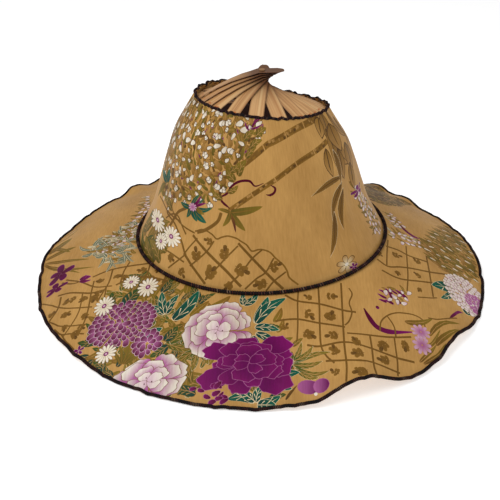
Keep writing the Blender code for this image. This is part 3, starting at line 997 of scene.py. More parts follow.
CROWN_PATHS = (
    ("cane", 7, ((240, 166.7), (265, 146.7), (273, 141.7), (296.7, 128.3), (317, 117.5))),
    ("cane", 5, ((229, 211), (240, 203.5), (255, 193.3), (273, 181.7), (300, 161.5), (327, 140.8))),
    ("stem", 3.5, ((221, 213), (217.5, 222), (206, 230), (197, 232.5))),
    ("tendril", 1.8, ((214, 194.5), (220, 196.5), (226.7, 193.3), (231.3, 186.7), (236.7, 182.6),
     (243.3, 180.6), (250, 181.7), (255, 186.2), (263.3, 183.6))),
    ("tendril", 1.8, ((220, 196.5), (222, 202), (230, 208.7))),
    ("tendril", 1.8, ((270.8, 185), (275, 188.3), (274.5, 192.6), (270.5, 195.3), (265.8, 194.6))),
    ("tendril", 1.6, ((257, 119), (253.5, 124), (251.5, 128))),
    ("line", 1.4, ((195, 231.7), (203.3, 229.4), (211.7, 234), (216.7, 239), (222, 237), (228.3, 236.2),
     (236, 238), (240, 240.5), (246.7, 245), (251.7, 251), (258, 249.5), (263, 250), (270, 252.5),
     (275.5, 258), (283.3, 265), (287, 271), (289.5, 277.5), (298.3, 285))),
    ("lattice", 2.6, ((193, 235), (206.7, 251.7), (225, 270), (241, 287))),
    ("lattice", 2.6, ((238, 243), (260, 266.7), (283, 289))),
    ("lattice", 2.2, ((184, 253), (196, 272), (205, 284))),
    ("lattice", 1.2, ((184, 254), (190, 246), (197.5, 238))),
    ("lattice", 1.2, ((205, 280), (214, 271), (226, 258), (238, 246))),
    ("lattice", 1.2, ((190, 266), (206, 252), (214, 241))),
    ("lattice", 1.2, ((224, 289), (240, 274), (252, 259), (262, 250))),
    ("lattice", 1.2, ((245, 289), (256, 279), (266, 272), (274, 258))),
    ("lattice", 1.2, ((266, 291), (274, 281), (286, 272))),
    ("lattice", 1, ((168, 268), (176, 262), (186, 254))),
    ("lattice", 1, ((160, 246), (172, 254), (184, 262))),
    ("stem", 1.6, ((163, 192), (168, 202), (167, 212), (175, 224), (181, 240), (185, 254))),
    ("stem", 1.2, ((175, 196), (172, 207), (177, 219), (186, 228), (195, 233))),
    ("stem", 1.2, ((160, 196), (166, 208), (172, 216), (180, 221))),
    ("stem", 1, ((322, 113), (329, 130), (335, 150), (341, 168), (343, 178))),
    ("stem", 1, ((346, 120), (347, 140), (350, 160), (354, 180))),
    ("stem", 2.2, ((166, 232), (172, 222), (178, 212), (186, 208))),
    ("stem", 1.6, ((166, 218), (172, 214), (178, 216), (182, 226), (186, 234))),
)
CROWN_ORNAMENTS = (
    ((197, 254), 9.1),
    ((210, 272), 9.1),
    ((225, 253), 9.1),
    ((242, 270), 9.1),
    ((171, 258), 6.5),
    ((182, 273), 6.5),
    ((228, 286), 6.5),
    ((260, 284), 7.8),
    ((208.5, 241), 6.5),
    ((276, 266), 7.8),
)
CROWN_REGIONS = (
    ("blossoms", ((176, 112), (184, 100), (194, 98), (210, 109), (228, 114), (246, 118), (262, 121),
     (266, 131), (258, 142), (248, 152), (240, 168), (234, 180), (222, 196), (208, 206), (190, 202),
     (176, 202), (168, 206), (162, 198), (164, 180), (164, 165), (169, 138))),
    ("white_sprig", ((353, 186), (360, 188), (367, 200), (376, 214), (381, 228), (378, 236), (371, 226),
     (363, 208), (355, 196))),
    ("foliage_dark", ((142, 232), (150, 226), (158, 230), (166, 246), (160, 262), (152, 262), (144,
     250))),
)
BRIM_ROUNDS = (
    ("peony", (218.5, 330), (37, 30)),
    ("peony", (147, 381), (41, 25)),
    ("peony_purple", (250, 363), (46, 30)),
    ("chrysanthemum", (122, 323), (30, 20)),
    ("chrysanthemum", (147, 343), (13, 11)),
    ("daisy", (148, 287), (10, 9)),
    ("daisy", (131, 282), (8, 6)),
    ("daisy", (104, 306), (9, 9)),
    ("daisy", (106, 354), (10, 9)),
    ("iris", (61, 274), (10, 9)),
    ("iris", (56, 289), (9, 5)),
    ("small_maroon", (79, 351), (5, 5)),
    ("maroon_cluster", (208, 396), (21.25, 12.5)),
    ("violet_bud", (314, 387), (17, 7)),
    ("lilac_flower", (421, 332), (9, 7)),
    ("lilac_flower", (422.5, 345), (9, 9)),
    ("white_chrysanthemum", (467, 296), (15, 15)),
)
BRIM_LEAVES = (
    ("maroon_leaf", (80, 281), (91, 276), 4),
    ("maroon_leaf", (80, 281), (91, 280), 3),
    ("maroon_leaf", (80, 280), (87, 275), 3),
    ("teal", (255, 323), (268, 297), 8),
    ("teal", (255, 323), (286, 298), 9),
    ("teal", (255, 327), (279, 330), 6),
    ("teal", (256, 333), (278, 346), 6),
    ("teal", (253, 336), (259, 351), 6),
    ("teal", (243, 305), (258, 294), 6),
    ("teal", (243, 305), (243, 293), 5),
    ("teal", (173, 320), (199, 291), 9),
    ("teal", (165, 314), (153, 306), 6),
    ("teal", (165, 314), (162, 292), 7),
    ("teal", (166, 314), (178, 295), 6),
    ("green", (125, 306), (141, 288), 12),
    ("green", (111, 310), (112, 292), 9),
    ("green", (103, 337), (78, 343), 9),
    ("green", (102, 331), (86, 323), 7),
    ("teal", (139, 335), (162, 328), 8),
    ("olive", (120, 364), (111, 349), 4),
    ("olive", (121, 364), (119, 345), 4),
    ("olive", (122, 364), (128, 344), 4),
    ("olive", (123, 364), (136, 347), 4),
    ("olive", (124, 364), (142, 352), 4),
    ("green", (101, 373), (93, 362), 6),
    ("green", (102, 373), (103, 357), 5),
    ("olive_big", (165, 343), (192, 351), 9),
    ("olive_big", (161, 352), (186, 363), 9),
    ("olive_big", (170, 343), (197, 330), 8),
    ("green", (165, 341), (178, 326), 9),
    ("green", (168, 346), (150, 357), 8),
    ("olive_big", (196, 350), (174, 369), 7),
    ("olive_big", (198, 351), (192, 371), 7),
    ("olive_big", (200, 350), (208, 364), 7),
    ("olive_big", (293, 363), (331, 352), 6),
    ("olive_big", (293, 365), (323, 361), 6),
    ("olive_big", (295, 368), (329, 371), 6),
    ("olive_big", (294, 361), (302, 342), 6),
    ("olive_big", (294, 361), (313, 346), 6),
    ("olive_big", (296, 370), (318, 378), 5),
    ("teal", (272, 383), (300, 372), 8),
    ("teal", (273, 386), (291, 389), 6),
    ("teal", (255, 401), (227, 399), 8),
    ("teal", (255, 401), (239, 391), 7),
    ("teal", (256, 402), (262, 386), 7),
    ("teal", (258, 404), (281, 396), 8),
    ("teal", (258, 405), (276, 405), 6),
    ("brown_thin", (286, 400), (298, 385), 3),
    ("teal", (454, 288), (432, 285), 8),
    ("teal", (453, 291), (441, 298), 6),
    ("teal", (457, 287), (459, 276), 6),
    ("teal", (462, 309), (478, 317), 6),
    ("grass", (37, 262), (89, 259), 3),
    ("grass", (40, 264), (94, 267), 3),
    ("grass", (40, 258), (76, 247), 3),
    ("grass", (44, 252), (72, 238), 3),
    ("grass", (52, 243), (78, 230), 3),
    ("grass", (38, 266), (80, 273), 3),
    ("grass", (47, 247), (70, 252), 3),
    ("grass", (60, 236), (84, 226), 2.5),
    ("grass", (420, 362), (436, 345), 5),
    ("grass", (424, 364), (447, 345), 5),
    ("grass", (416, 350), (440, 330), 5),
    ("grass", (430, 336), (460, 324), 6),
    ("grass", (436, 345), (462, 335), 6),
    ("grass", (405, 322), (432, 319), 6),
    ("teal_grey", (96, 250), (108, 243), 3.2),
    ("teal_grey", (94, 246), (104, 236), 3),
    ("teal_grey", (116, 252), (128, 246), 3.2),
    ("teal_grey", (118, 260), (132, 256), 3.2),
    ("teal_grey", (124, 264), (121, 252), 3),
    ("teal_grey", (104, 258), (98, 268), 3),
    ("teal_grey", (110, 256), (116, 268), 3.2),
    ("teal_grey", (90, 250), (80, 246), 3),
    ("teal_grey", (92, 254), (82, 256), 3),
    ("teal_grey", (112, 262), (106, 272), 3),
    ("teal_grey", (126, 254), (134, 262), 3),
    ("teal_grey", (108, 246), (98, 238), 3),
)
BRIM_PATHS = (
    ("stem", 1.2, ((62, 283), (70, 284), (76, 283), (81, 281))),
    ("maroon", 4.6, ((364, 308), (368, 316), (375, 325), (383, 330), (393, 332), (412, 332))),
    ("maroon", 2.6, ((400, 225), (406, 231), (413, 236), (420, 239))),
    ("maroon", 3, ((376, 306), (379, 309))),
    ("maroon", 3.4, ((449, 319), (454, 314.5), (459, 312), (463, 313))),
    ("lattice", 1.4, ((83, 292), (81, 303), (77, 315), (63, 337))),
    ("lattice", 1.4, ((61, 297), (57, 310), (49, 322))),
    ("lattice", 1.4, ((113, 270), (109, 282), (103, 292), (97, 302))),
    ("lattice", 1.4, ((130, 262), (124, 272), (120, 284))),
    ("lattice", 1.4, ((41, 304), (50, 305), (61, 308), (75, 308), (92, 307))),
    ("lattice", 1.4, ((47, 324), (60, 326), (72, 326), (88, 324))),
    ("lattice", 1.4, ((66, 280), (80, 282), (95, 287), (112, 286))),
    ("lattice", 1.4, ((58, 296), (72, 293), (90, 293), (104, 290))),
    ("lattice", 1.4, ((93, 277), (110, 270), (130, 266), (152, 262))),
    ("lattice", 1.4, ((61, 334), (66, 342), (74, 350))),
    ("lattice", 1.8, ((298, 288), (297.5, 303), (297.5, 322), (296.7, 341))),
    ("lattice", 1.8, ((318, 286), (319, 305), (320, 325), (321, 345), (326, 355), (334, 363))),
    ("lattice", 1.8, ((341, 283), (342, 303), (343, 325), (345, 345), (347, 365), (347, 382))),
    ("lattice", 1.8, ((285, 295), (298, 301), (320, 304), (343, 310), (356, 312))),
    ("lattice", 1.8, ((275, 321), (297, 319), (320, 323), (345, 327))),
    ("lattice", 1.8, ((307, 345), (321, 346), (345, 342), (368, 347), (397, 358), (415, 362))),
    ("lattice", 1.8, ((326, 361), (347, 360), (372, 362), (400, 373))),
    ("lattice", 1.8, ((347, 333), (370, 335), (390, 337), (411, 337))),
    ("lattice", 1.8, ((370, 335), (372, 350), (374, 365), (376, 380))),
    ("lattice", 1.8, ((394, 337), (396, 350), (397.5, 363), (398, 376))),
    ("lattice", 1.2, ((349, 288), (352, 294), (349, 303), (352, 312), (349, 321), (345, 325))),
    ("lattice", 1.2, ((380, 331), (381, 322), (387, 316), (396, 313), (405, 313), (415, 315), (423,
     320), (425, 327))),
    ("lattice", 1.2, ((387, 316), (394, 326), (396, 337))),
    ("lattice", 1.2, ((428, 318), (440, 319), (457, 318))),
    ("lattice", 1.4, ((388, 240), (387, 252), (387, 265))),
    ("lattice", 1.4, ((406, 246), (407, 260), (408, 275), (407, 291))),
    ("lattice", 1.4, ((426, 256), (429, 270), (433, 297))),
    ("lattice", 1.4, ((386, 246), (398, 250), (410, 256), (427, 262))),
    ("lattice", 1.4, ((377, 259), (388, 266), (400, 267), (410, 268), (430, 272), (450, 275))),
    ("lattice", 1.4, ((382, 270), (395, 277), (408, 280), (433, 283))),
    ("lattice", 1.2, ((418, 297), (430, 298), (437, 298))),
    ("lattice", 1.4, ((94, 281), (91, 294), (89, 306), (85, 320), (78, 336))),
    ("lattice", 1.4, ((49, 333), (60, 334), (72, 334), (84, 334))),
    ("lattice", 1.4, ((151, 263), (147, 273), (141, 284))),
    ("lattice", 1.4, ((168, 271), (164, 281), (160, 290))),
    ("lattice", 1.4, ((116, 285), (132, 278), (150, 277), (168, 281))),
    ("lattice", 1.4, ((106, 288), (104, 298), (100, 312))),
)
BRIM_ORNAMENTS = (
    ((72, 300), 7.8),
    ((66, 314), 7.8),
    ((95, 298), 7.8),
    ((85, 316), 6.5),
    ((75, 335), 7.8),
    ((100, 281), 6.5),
    ((142, 270), 7.8),
    ((125, 277), 6.5),
    ((285, 327), 6.5),
    ((309, 315), 9.1),
    ((310, 334), 9.1),
    ((332, 296), 7.8),
    ((331, 316), 9.1),
    ((332, 335), 9.1),
    ((334, 350), 7.8),
    ((334, 372), 6.5),
    ((357, 341), 7.8),
    ((358, 353), 9.1),
    ((361, 371), 10.4),
    ((383, 346), 9.1),
    ((384, 360), 9.1),
    ((405, 346), 7.8),
    ((397, 255), 7.8),
    ((417, 261), 6.5),
    ((418, 275), 6.5),
    ((398, 273), 5.2),
    ((420, 290), 5.2),
    ((380, 254), 5.2),
    ((308, 297), 6.5),
    ((52, 314), 6.5),
    ((64, 328), 6),
    ((83, 299), 6.5),
    ((82, 327), 6),
    ((98, 293), 6),
    ((158, 270), 6.5),
    ((118, 276), 6.5),
    ((157, 280), 6),
    ((66, 302), 6.5),
)
BRIM_REGIONS = (
    ("white_sprig", ((137, 222), (141, 228), (120, 246), (104, 254), (92, 250), (96, 244), (116, 235))),
    ("white_buds", ((384, 290), (390, 289), (398, 290), (408, 291), (411, 297), (404, 304), (396, 305),
     (386, 303))),
    ("white_sprig", ((387, 214), (392, 214), (404, 226), (400, 230), (392, 224))),
    ("white_sprig", ((391, 231), (398, 232), (424, 243), (420, 249), (405, 245), (393, 238))),
    ("scales", ((425, 247), (438, 234), (452, 226), (466, 236), (478, 252), (484, 276), (478, 282),
     (465, 283), (450, 274), (436, 264))),
    ("dark_patch", ((366, 186), (374, 186), (384, 189), (392, 197), (404, 201), (413, 205), (402, 207),
     (388, 206), (378, 203), (370, 196))),
    ("foliage", ((118, 292), (146, 274), (172, 288), (196, 296), (212, 306), (216, 350), (206, 384),
     (190, 400), (160, 392), (130, 384), (104, 378), (84, 352), (92, 330), (104, 312))),
    ("foliage_thin", ((255, 330), (275, 320), (297, 345), (292, 372), (270, 398), (240, 404), (225,
     402), (250, 380), (280, 360))),
    ("white_sprig", ((96, 251), (112, 240), (128, 228), (140, 212), (148, 196), (151, 200), (149, 214),
     (141, 228), (132, 240), (120, 250), (106, 256))),
    ("foliage_grey", ((92, 250), (104, 240), (116, 233), (128, 226), (136, 221), (141, 236), (138, 250),
     (130, 262), (118, 264), (106, 258), (96, 256))),
)


def polygon_area(corners):
    x, y = corners[..., 0], corners[..., 1]
    return np.abs((x * np.roll(y, -1, axis=-1) - y * np.roll(x, -1, axis=-1)).sum(axis=-1)) / 2


def triangulated(points, edges, faces, nearness=1e-3):
    """The places and triangles of a flat triangulation, and which points and shapes each came from."""
    verts, _, tris, origins, _, owners = delaunay_2d_cdt([Vector(p) for p in points], edges, faces, 0,
                                                         nearness, True)
    return np.array([v[:] for v in verts]), np.array(tris), origins, owners


def topmost(printed, corners, owners):
    """The last shape over each triangle.

    A shape that crosses itself can claim the whole cloth, and such a shape is left out.
    """
    counts = [len(o) for o in owners]
    triangle = np.repeat(np.arange(len(owners)), counts)
    shape = np.array([k for o in owners for k in o])
    claimed = np.bincount(shape, weights=polygon_area(corners)[triangle], minlength=len(printed.outlines))
    own = np.array([polygon_area(outline) for outline in printed.outlines])
    shape = np.where((claimed > 1.4 * own + 1.0)[shape], 0, shape)
    top = np.zeros(len(owners), int)
    np.maximum.at(top, triangle, shape)
    return top


def edges_once(tris):
    """The edges with a triangle on one side only, in that triangle's direction."""
    edges = np.concatenate([tris[:, [0, 1]], tris[:, [1, 2]], tris[:, [2, 0]]])
    key = np.sort(edges, axis=1) @ (1 << 32, 1)
    _, first, times = np.unique(key, return_index=True, return_counts=True)
    return edges[first[times == 1]]


def seen_edges(tris, looks):
    """The edges where the look changes, and those with a triangle on one side only."""
    edges = np.sort(np.concatenate([tris[:, [0, 1]], tris[:, [1, 2]], tris[:, [2, 0]]]), axis=1)
    order = np.argsort(edges @ (1 << 32, 1), kind="stable")
    edges, looks = edges[order], np.tile(looks, 3)[order]
    again = (edges[1:] == edges[:-1]).all(axis=1)
    alike = again & (looks[1:] == looks[:-1])
    hidden = np.append(False, alike) | np.append(alike, False)
    return edges[np.append(True, ~again) & ~hidden]


OUTLINE_SLACK = 0.02            # millimetres that a printed outline may move when its points are thinned
THINNING_ROUNDS = 12


def straightened(flat, edges):
    """The edges without the points where just two of them meet nearly in a line.

    Of neighbours that could both go, the one lower in a random order goes first.
    """
    rank = np.random.default_rng(3).permutation(len(flat))
    for _ in range(THINNING_ROUNDS):
        ends = np.concatenate([edges, edges[:, ::-1]])
        ends = ends[np.argsort(ends[:, 0], kind="stable")]
        count = np.bincount(edges.ravel(), minlength=len(flat))
        first = np.cumsum(np.append(0, count))[:-1]
        point = np.flatnonzero(count == 2)
        a, b = ends[first[point], 1], ends[first[point] + 1, 1]
        to_a, to_b = flat[a] - flat[point], flat[b] - flat[point]
        long = np.linalg.norm(to_b - to_a, axis=1)
        off = np.abs(to_a[:, 0] * to_b[:, 1] - to_a[:, 1] * to_b[:, 0]) / np.maximum(long, 1e-9)
        can_go = np.zeros(len(flat), bool)
        can_go[point] = (off < OUTLINE_SLACK) & ((to_a * to_b).sum(axis=1) < 0)
        waits = (can_go[a] & (rank[a] > rank[point])) | (can_go[b] & (rank[b] > rank[point]))
        goes = can_go[point] & ~waits
        gone = np.zeros(len(flat), bool)
        gone[point[goes]] = True
        edges = np.concatenate([edges[~gone[edges].any(axis=1)], np.stack([a[goes], b[goes]], axis=1)])
    return edges


def seen_only(flat, tris, shapes, looks, grid, inside):
    """The cloth triangulated again with the outlines that can be seen alone, and each triangle's shape."""
    ends, edges = compacted(flat, straightened(flat, seen_edges(tris, looks[shapes])))
    placed, fewer, _, _ = triangulated(np.concatenate([ends, grid]), edges.tolist(), [])
    middles = placed[fewer].mean(axis=1)
    kept = inside(middles)
    tree = BVHTree.FromPolygons(np.pad(flat, ((0, 0), (0, 1))).tolist(), tris.tolist())
    under = [tree.find_nearest((x, y, 0))[2] for x, y in middles[kept].tolist()]
    placed, fewer = compacted(placed, fewer[kept])
    return placed, fewer, shapes[under]


def compacted(flat, tris):
    """The points that are used, and the edges or triangles between them by their new numbers."""
    used, renamed = np.unique(tris, return_inverse=True)
    return flat[used], renamed.reshape(tris.shape)


def lining_faces(flat, edge, grid, inside):
    """The cloth's inner face: its rim has the outer face's rim points, its middle a coarse grid."""
    ends = np.unique(edge)
    number = np.zeros(len(flat), int)
    number[ends] = np.arange(len(ends))
    points = np.concatenate([flat[ends], grid])
    placed, tris, origins, _ = triangulated(points, number[edge].tolist(), [], 1e-4)
    tris = tris[inside(placed[tris].mean(axis=1))]
    below = np.full(len(ends), -1)
    for place, origin in enumerate(origins):
        for k in origin:
            if k < len(ends):
                below[k] = place
    return placed, tris, below[number]


def looks_of(ramps):
    """A number for the look of each shape; shapes in one plain colour look alike wherever they lie."""
    one_colour = (ramps[:, 4:7] == ramps[:, 7:10]).all(axis=1)
    places_ignored = np.where(one_colour[:, None], ramps * ([0] * 4 + [1] * 6), ramps)
    return np.unique(places_ignored, axis=0, return_inverse=True)[1].ravel()


def ramp_colours(ramps, corners):
    """The colours of triangles' corners, each triangle with its own ramp."""
    start, end = ramps[:, None, 0:2], ramps[:, None, 2:4]
    along = end - start
    share = ((corners - start) * along).sum(-1) / np.maximum((along ** 2).sum(-1), 1e-9)
    share = np.clip(share, 0, 1)[..., None]
    return ramps[:, None, 4:7] * (1 - share) + ramps[:, None, 7:10] * share


def print_mesh(name, printed, grids, inside, surface, lining, facing, seam=None):
    """Printed cloth as a closed thin sheet.

    Outer face: the print's outlines and a fine grid, triangulated together. Inner face: a coarser grid,
    in the lining's colour up to facing, a y of the flat pattern, and the ground's colour above; the crown's
    dark lining colour is painted shade. A strip joins their rims. seam is how far apart the two sides of a
    seam lie in the flat pattern, where the points on them are made one.
    """
    points, faces = [tuple(p) for p in grids[0]], []
    for outline in printed.outlines:
        faces.append(list(range(len(points), len(points) + len(outline))))
        points += [tuple(p) for p in outline]
    flat, tris, _, owners = triangulated(points, [], faces)
    top = topmost(printed, flat[tris], owners)
    keep = inside(flat[tris].mean(axis=1))
    flat, tris = compacted(flat, tris[keep])
    ramps = np.array(printed.ramps)
    flat, tris, shapes = seen_only(flat, tris, top[keep], looks_of(ramps), grids[0], inside)
    edge = edges_once(tris)
    under, under_tris, below = lining_faces(flat, edge, grids[1], inside)
    under_tris = under_tris + len(flat)
    below = below + len(flat)
    both = np.concatenate([flat, under])
    if seam:
        on_seam = np.abs(np.abs(flat[edge][..., 0]) - seam / 2).max(axis=1) < 0.01
        edge = edge[~on_seam]
    a, b = edge.T
    strip = np.concatenate([np.stack([b, a, below[a]], axis=1), np.stack([b, below[a], below[b]], axis=1)])
    every = np.concatenate([tris, under_tris[:, ::-1], strip])
    corners = both[every]
    places = np.concatenate([surface(flat), surface(under, CLOTH)])
    if seam:
        every = joined(both, every, len(flat), seam)
    made = mesh_object(name, places, every.tolist())
    mesh = made.data
    mesh.set_sharp_from_angle(angle=radians(50))
    layer = mesh.uv_layers.new(name="pattern")
    layer.data.foreach_set("uv", (corners / 1000).astype(np.float32).ravel())
    rgba = np.ones((len(every), 3, 4))
    rgba[:len(tris), :, :3] = ramp_colours(ramps[shapes], flat[tris])
    # The inner face in its given colour: for the crown the dark lining ink, a painted shade; for the brim the
    # cloth's paler reverse
    rgba[len(tris):, :, :3] = INK[lining]
    rgba[len(tris):][corners[len(tris):, :, 1].mean(axis=1) > facing, :, :3] = INK["ground"]
    layer = mesh.color_attributes.new("print", 'FLOAT_COLOR', 'CORNER')
    layer.data.foreach_set("color", rgba.astype(np.float32).ravel())
    return made


def joined(flat, tris, outer, seam):
    """Triangles with the points on the seam's right side replaced by their partners on its left."""
    partner = np.arange(len(flat))
    for low, high in ((0, outer), (outer, len(flat))):
        number = np.arange(low, high)
        left = number[np.abs(flat[low:high, 0] + seam / 2) < 0.01]
        right = number[np.abs(flat[low:high, 0] - seam / 2) < 0.01]
        for k in right:
            partner[k] = left[np.argmin(np.abs(flat[left, 1] - flat[k, 1]))]
    return partner[tris]


def crown_grid(columns, rows, inset=0.0):
    half = CROWN_MM_A_TURN / 2 - inset
    x, y = np.meshgrid(np.linspace(-half, half, columns), np.linspace(inset, CROWN_MM_HIGH - inset, rows))
    return np.stack([x.ravel(), y.ravel()], axis=1)


def brim_grid(columns, rows, inset=0.0):
    around = np.linspace(0, 360, columns, endpoint=False)
    shares = np.linspace(inset, BRIM_SHARE_OUT - inset, rows)
    return np.concatenate([brim_flat(around, share) for share in shares])


# Columns and rows of the cloth's points, and how far the inner face's grid keeps from the edges
CROWN_OUTER_GRID = (241, 51)
CROWN_INNER_GRID = (118, 22, 2.5)
BRIM_OUTER_GRID = (BRIM_SIDES, 34)
BRIM_INNER_GRID = (240, 12, 0.04)
CROWN_EVEN_RADIUS = 0.078       # the unrolled crown is as wide as at this radius all the way up
CROWN_MM_FACING = 14.0          # the printed cloth is turned in so far at the top opening
CROWN_REPEAT = 262.0            # the print comes again after so many millimetres
CROWN_SEEN = 126.0              # the copies start so far from the front


def crown_widening(y):
    return CROWN_EVEN_RADIUS / float(smooth_curve(CROWN_PROFILE, np.array(y / CROWN_MM_HIGH)))


def make_crown():
    half = CROWN_MM_A_TURN / 2
    p = Print(11, crown_widening)
    p.ground([(-half, 0), (half, 0), (half, CROWN_MM_HIGH), (-half, CROWN_MM_HIGH)])
    draw_tables(p, Cloth(crown_point, crown_flat), CROWN_ROUNDS, CROWN_LEAVES, CROWN_PATHS,
                CROWN_ORNAMENTS, CROWN_REGIONS)

    def at_back(o):
        return np.abs(o[:, 0]).min() > CROWN_SEEN and np.abs(o[:, 0]).max() < half - 1

    front = p.drawn()
    for shift in (-CROWN_REPEAT, CROWN_REPEAT):
        p.copy_under(front, lambda o, by=shift: o + (by, 0), at_back)

    def inside(c):
        return (np.abs(c[:, 0]) < half) & (c[:, 1] > 0) & (c[:, 1] < CROWN_MM_HIGH)

    grids = crown_grid(*CROWN_OUTER_GRID), crown_grid(*CROWN_INNER_GRID)
    # The crown's inner face in the lining ink, a painted shade inside the crown, with the printed facing
    # above it
    made = print_mesh("crown_print", p, grids, inside, crown_surface,
                      "lining", CROWN_MM_HIGH - CROWN_MM_FACING, CROWN_MM_A_TURN)
    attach(made, "root")
    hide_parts("crown_cloth")
    return made


BRIM_BACK = (54, 128)           # azimuths of the copies, behind the crown
NO_FACING = 1000                # past the brim's pattern


def make_brim():
    p = Print(7)
    around = np.linspace(0, 360, BRIM_SIDES, endpoint=False)
    p.ground(brim_flat(around, BRIM_SHARE_OUT))
    p.ground(brim_flat(around, 0))
    draw_tables(p, Cloth(brim_point, brim_flat), BRIM_ROUNDS, BRIM_LEAVES, BRIM_PATHS,
                BRIM_ORNAMENTS, BRIM_REGIONS)

    def at_back(o):
        azimuth = np.degrees(np.arctan2(o[:, 1], o[:, 0]))
        return azimuth.min() > BRIM_BACK[0] and azimuth.max() < BRIM_BACK[1]

    p.copy_under(p.drawn(), lambda o: -o, at_back)

    def inside(c):
        # Distances are measured square to the side of the polygon that a place lies behind
        side = 360 / BRIM_SIDES
        off = np.degrees(np.arctan2(c[:, 1], c[:, 0])) % side - side / 2
        away = np.hypot(c[:, 0], c[:, 1]) * np.cos(np.radians(off)) / cos(radians(side / 2))
        return (away > BRIM_MM_IN) & (away < BRIM_MM_IN + BRIM_MM_WIDE * BRIM_SHARE_OUT)

    grids = brim_grid(*BRIM_OUTER_GRID), brim_grid(*BRIM_INNER_GRID)
    made = print_mesh("brim_print", p, grids, inside, brim_surface, "reverse", NO_FACING)
    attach(made, "root")
    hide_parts("brim_cloth")
    return made


BRIM_EDGE_STEPS = 4400
CROWN_EDGE_STEPS = 1760
WAIST_EDGE_STEPS = 2600
CORD_SIDES = 10
STITCHES = {
    # half width, half height, stitches in a turn, how far they rise as a share
    "brim": (0.00130, 0.00120, 1000, 0.10),
    "crown": (0.00100, 0.00110, 330, 0.12),
    "waist": (0.00135, 0.00135, 330, 0.14),
}
CROWN_EDGE_IN = 0.0003          # unevenness of the crown's edge, inwards and upwards
CROWN_EDGE_UP = 0.0006


def wobble(steps, waves, seed):
    """An uneven closed line of values around 0: some waves for each number of them in a turn."""
    rng = np.random.default_rng(seed)
    along = ring_of(steps)
    total = sum(np.sin(n * along + rng.uniform(0, 2 * pi)) * rng.uniform(0.4, 1) for n in waves)
    return total / len(waves) ** 0.5


def stitched_cord(name, node, places, across, upwards, stitches, depth):
    """Thread sewn over an edge: a tube along places whose surface rises in slanting stitches."""
    steps = len(places)
    ahead = np.roll(places, -1, axis=0) - np.roll(places, 1, axis=0)
    ahead /= np.linalg.norm(ahead, axis=1)[:, None]
    side = np.cross(ahead, (0, 0, 1))
    side /= np.linalg.norm(side, axis=1)[:, None]
    up = np.cross(side, ahead)
    angle = ring_of(CORD_SIDES)[None, :]
    along = ring_of(steps)[:, None]
    swell = 1 + depth * np.sin(stitches * along + angle)
    tube = (places[:, None] + side[:, None] * (across * swell * np.cos(angle))[..., None]
            + up[:, None] * (upwards * swell * np.sin(angle))[..., None])
    made = mesh_object(name, tube.reshape(-1, 3), grid_faces(steps, CORD_SIDES, True, True))
    u = np.repeat(np.arange(steps) / steps, CORD_SIDES)
    v = np.tile(np.arange(CORD_SIDES) / CORD_SIDES, steps)
    add_uv(made.data, np.stack([u, v], axis=1))
    add_values(made.data, "crest", ((swell - 1) / depth / 2 + 0.5).ravel())
    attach(made, "root")
    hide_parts(node)
    return made


def make_edges():
    azimuth = ring_of(BRIM_EDGE_STEPS)
    radius, height = brim_edge(azimuth)
    out_ripple, up_ripple = edge_ripple(azimuth)
    radius = radius + out_ripple
    edge = np.stack([radius * np.cos(azimuth), radius * np.sin(azimuth), height + up_ripple], axis=-1)
    brim = stitched_cord("brim_overlock", "brim_edging", edge, *STITCHES["brim"])
    azimuth = ring_of(CROWN_EDGE_STEPS)
    inwards = CROWN_EDGE_IN * wobble(CROWN_EDGE_STEPS, (37, 45, 58, 71), 5)
    top = crown_point(azimuth, np.ones_like(azimuth), inwards)
    top[:, 2] += CROWN_EDGE_UP * wobble(CROWN_EDGE_STEPS, (31, 44, 52, 66, 79), 6)
    crown = stitched_cord("crown_overlock", "crown_edging", top, *STITCHES["crown"])
    azimuth = ring_of(WAIST_EDGE_STEPS)
    seat = WAIST_CORD_SEAT * cos(pi / 4)
    places = ring_point(WAIST, azimuth, outwards=seat, upwards=seat)
    waist = stitched_cord("waist_overlock", "waist_cord", places, *STITCHES["waist"])
    return [brim, crown, waist]


def slat_fan():
    """The azimuth of each slat and the height of its hub, from the lowest up."""
    azimuths, heights = [], []
    height = TOP["z"] + SLAT_LOWEST
    for first, step, rise, count in SLAT_FAN:
        for i in range(count):
            azimuths.append(radians(first + step * i))
            heights.append(height)
            height += rise
    return np.array(azimuths), np.array(heights)


def shingle_slopes(azimuths, heights, distance, spare=0.0):
    """How much each slat leans across, so that it clears its neighbours as shingles do."""
    apart = distance * -np.diff(azimuths)
    needed = (SLAT_THICK + GAP + spare - np.diff(heights)) / apart
    return np.maximum(SLAT_LEAN, np.maximum(np.append(needed, 0), np.insert(needed, 0, 0)))


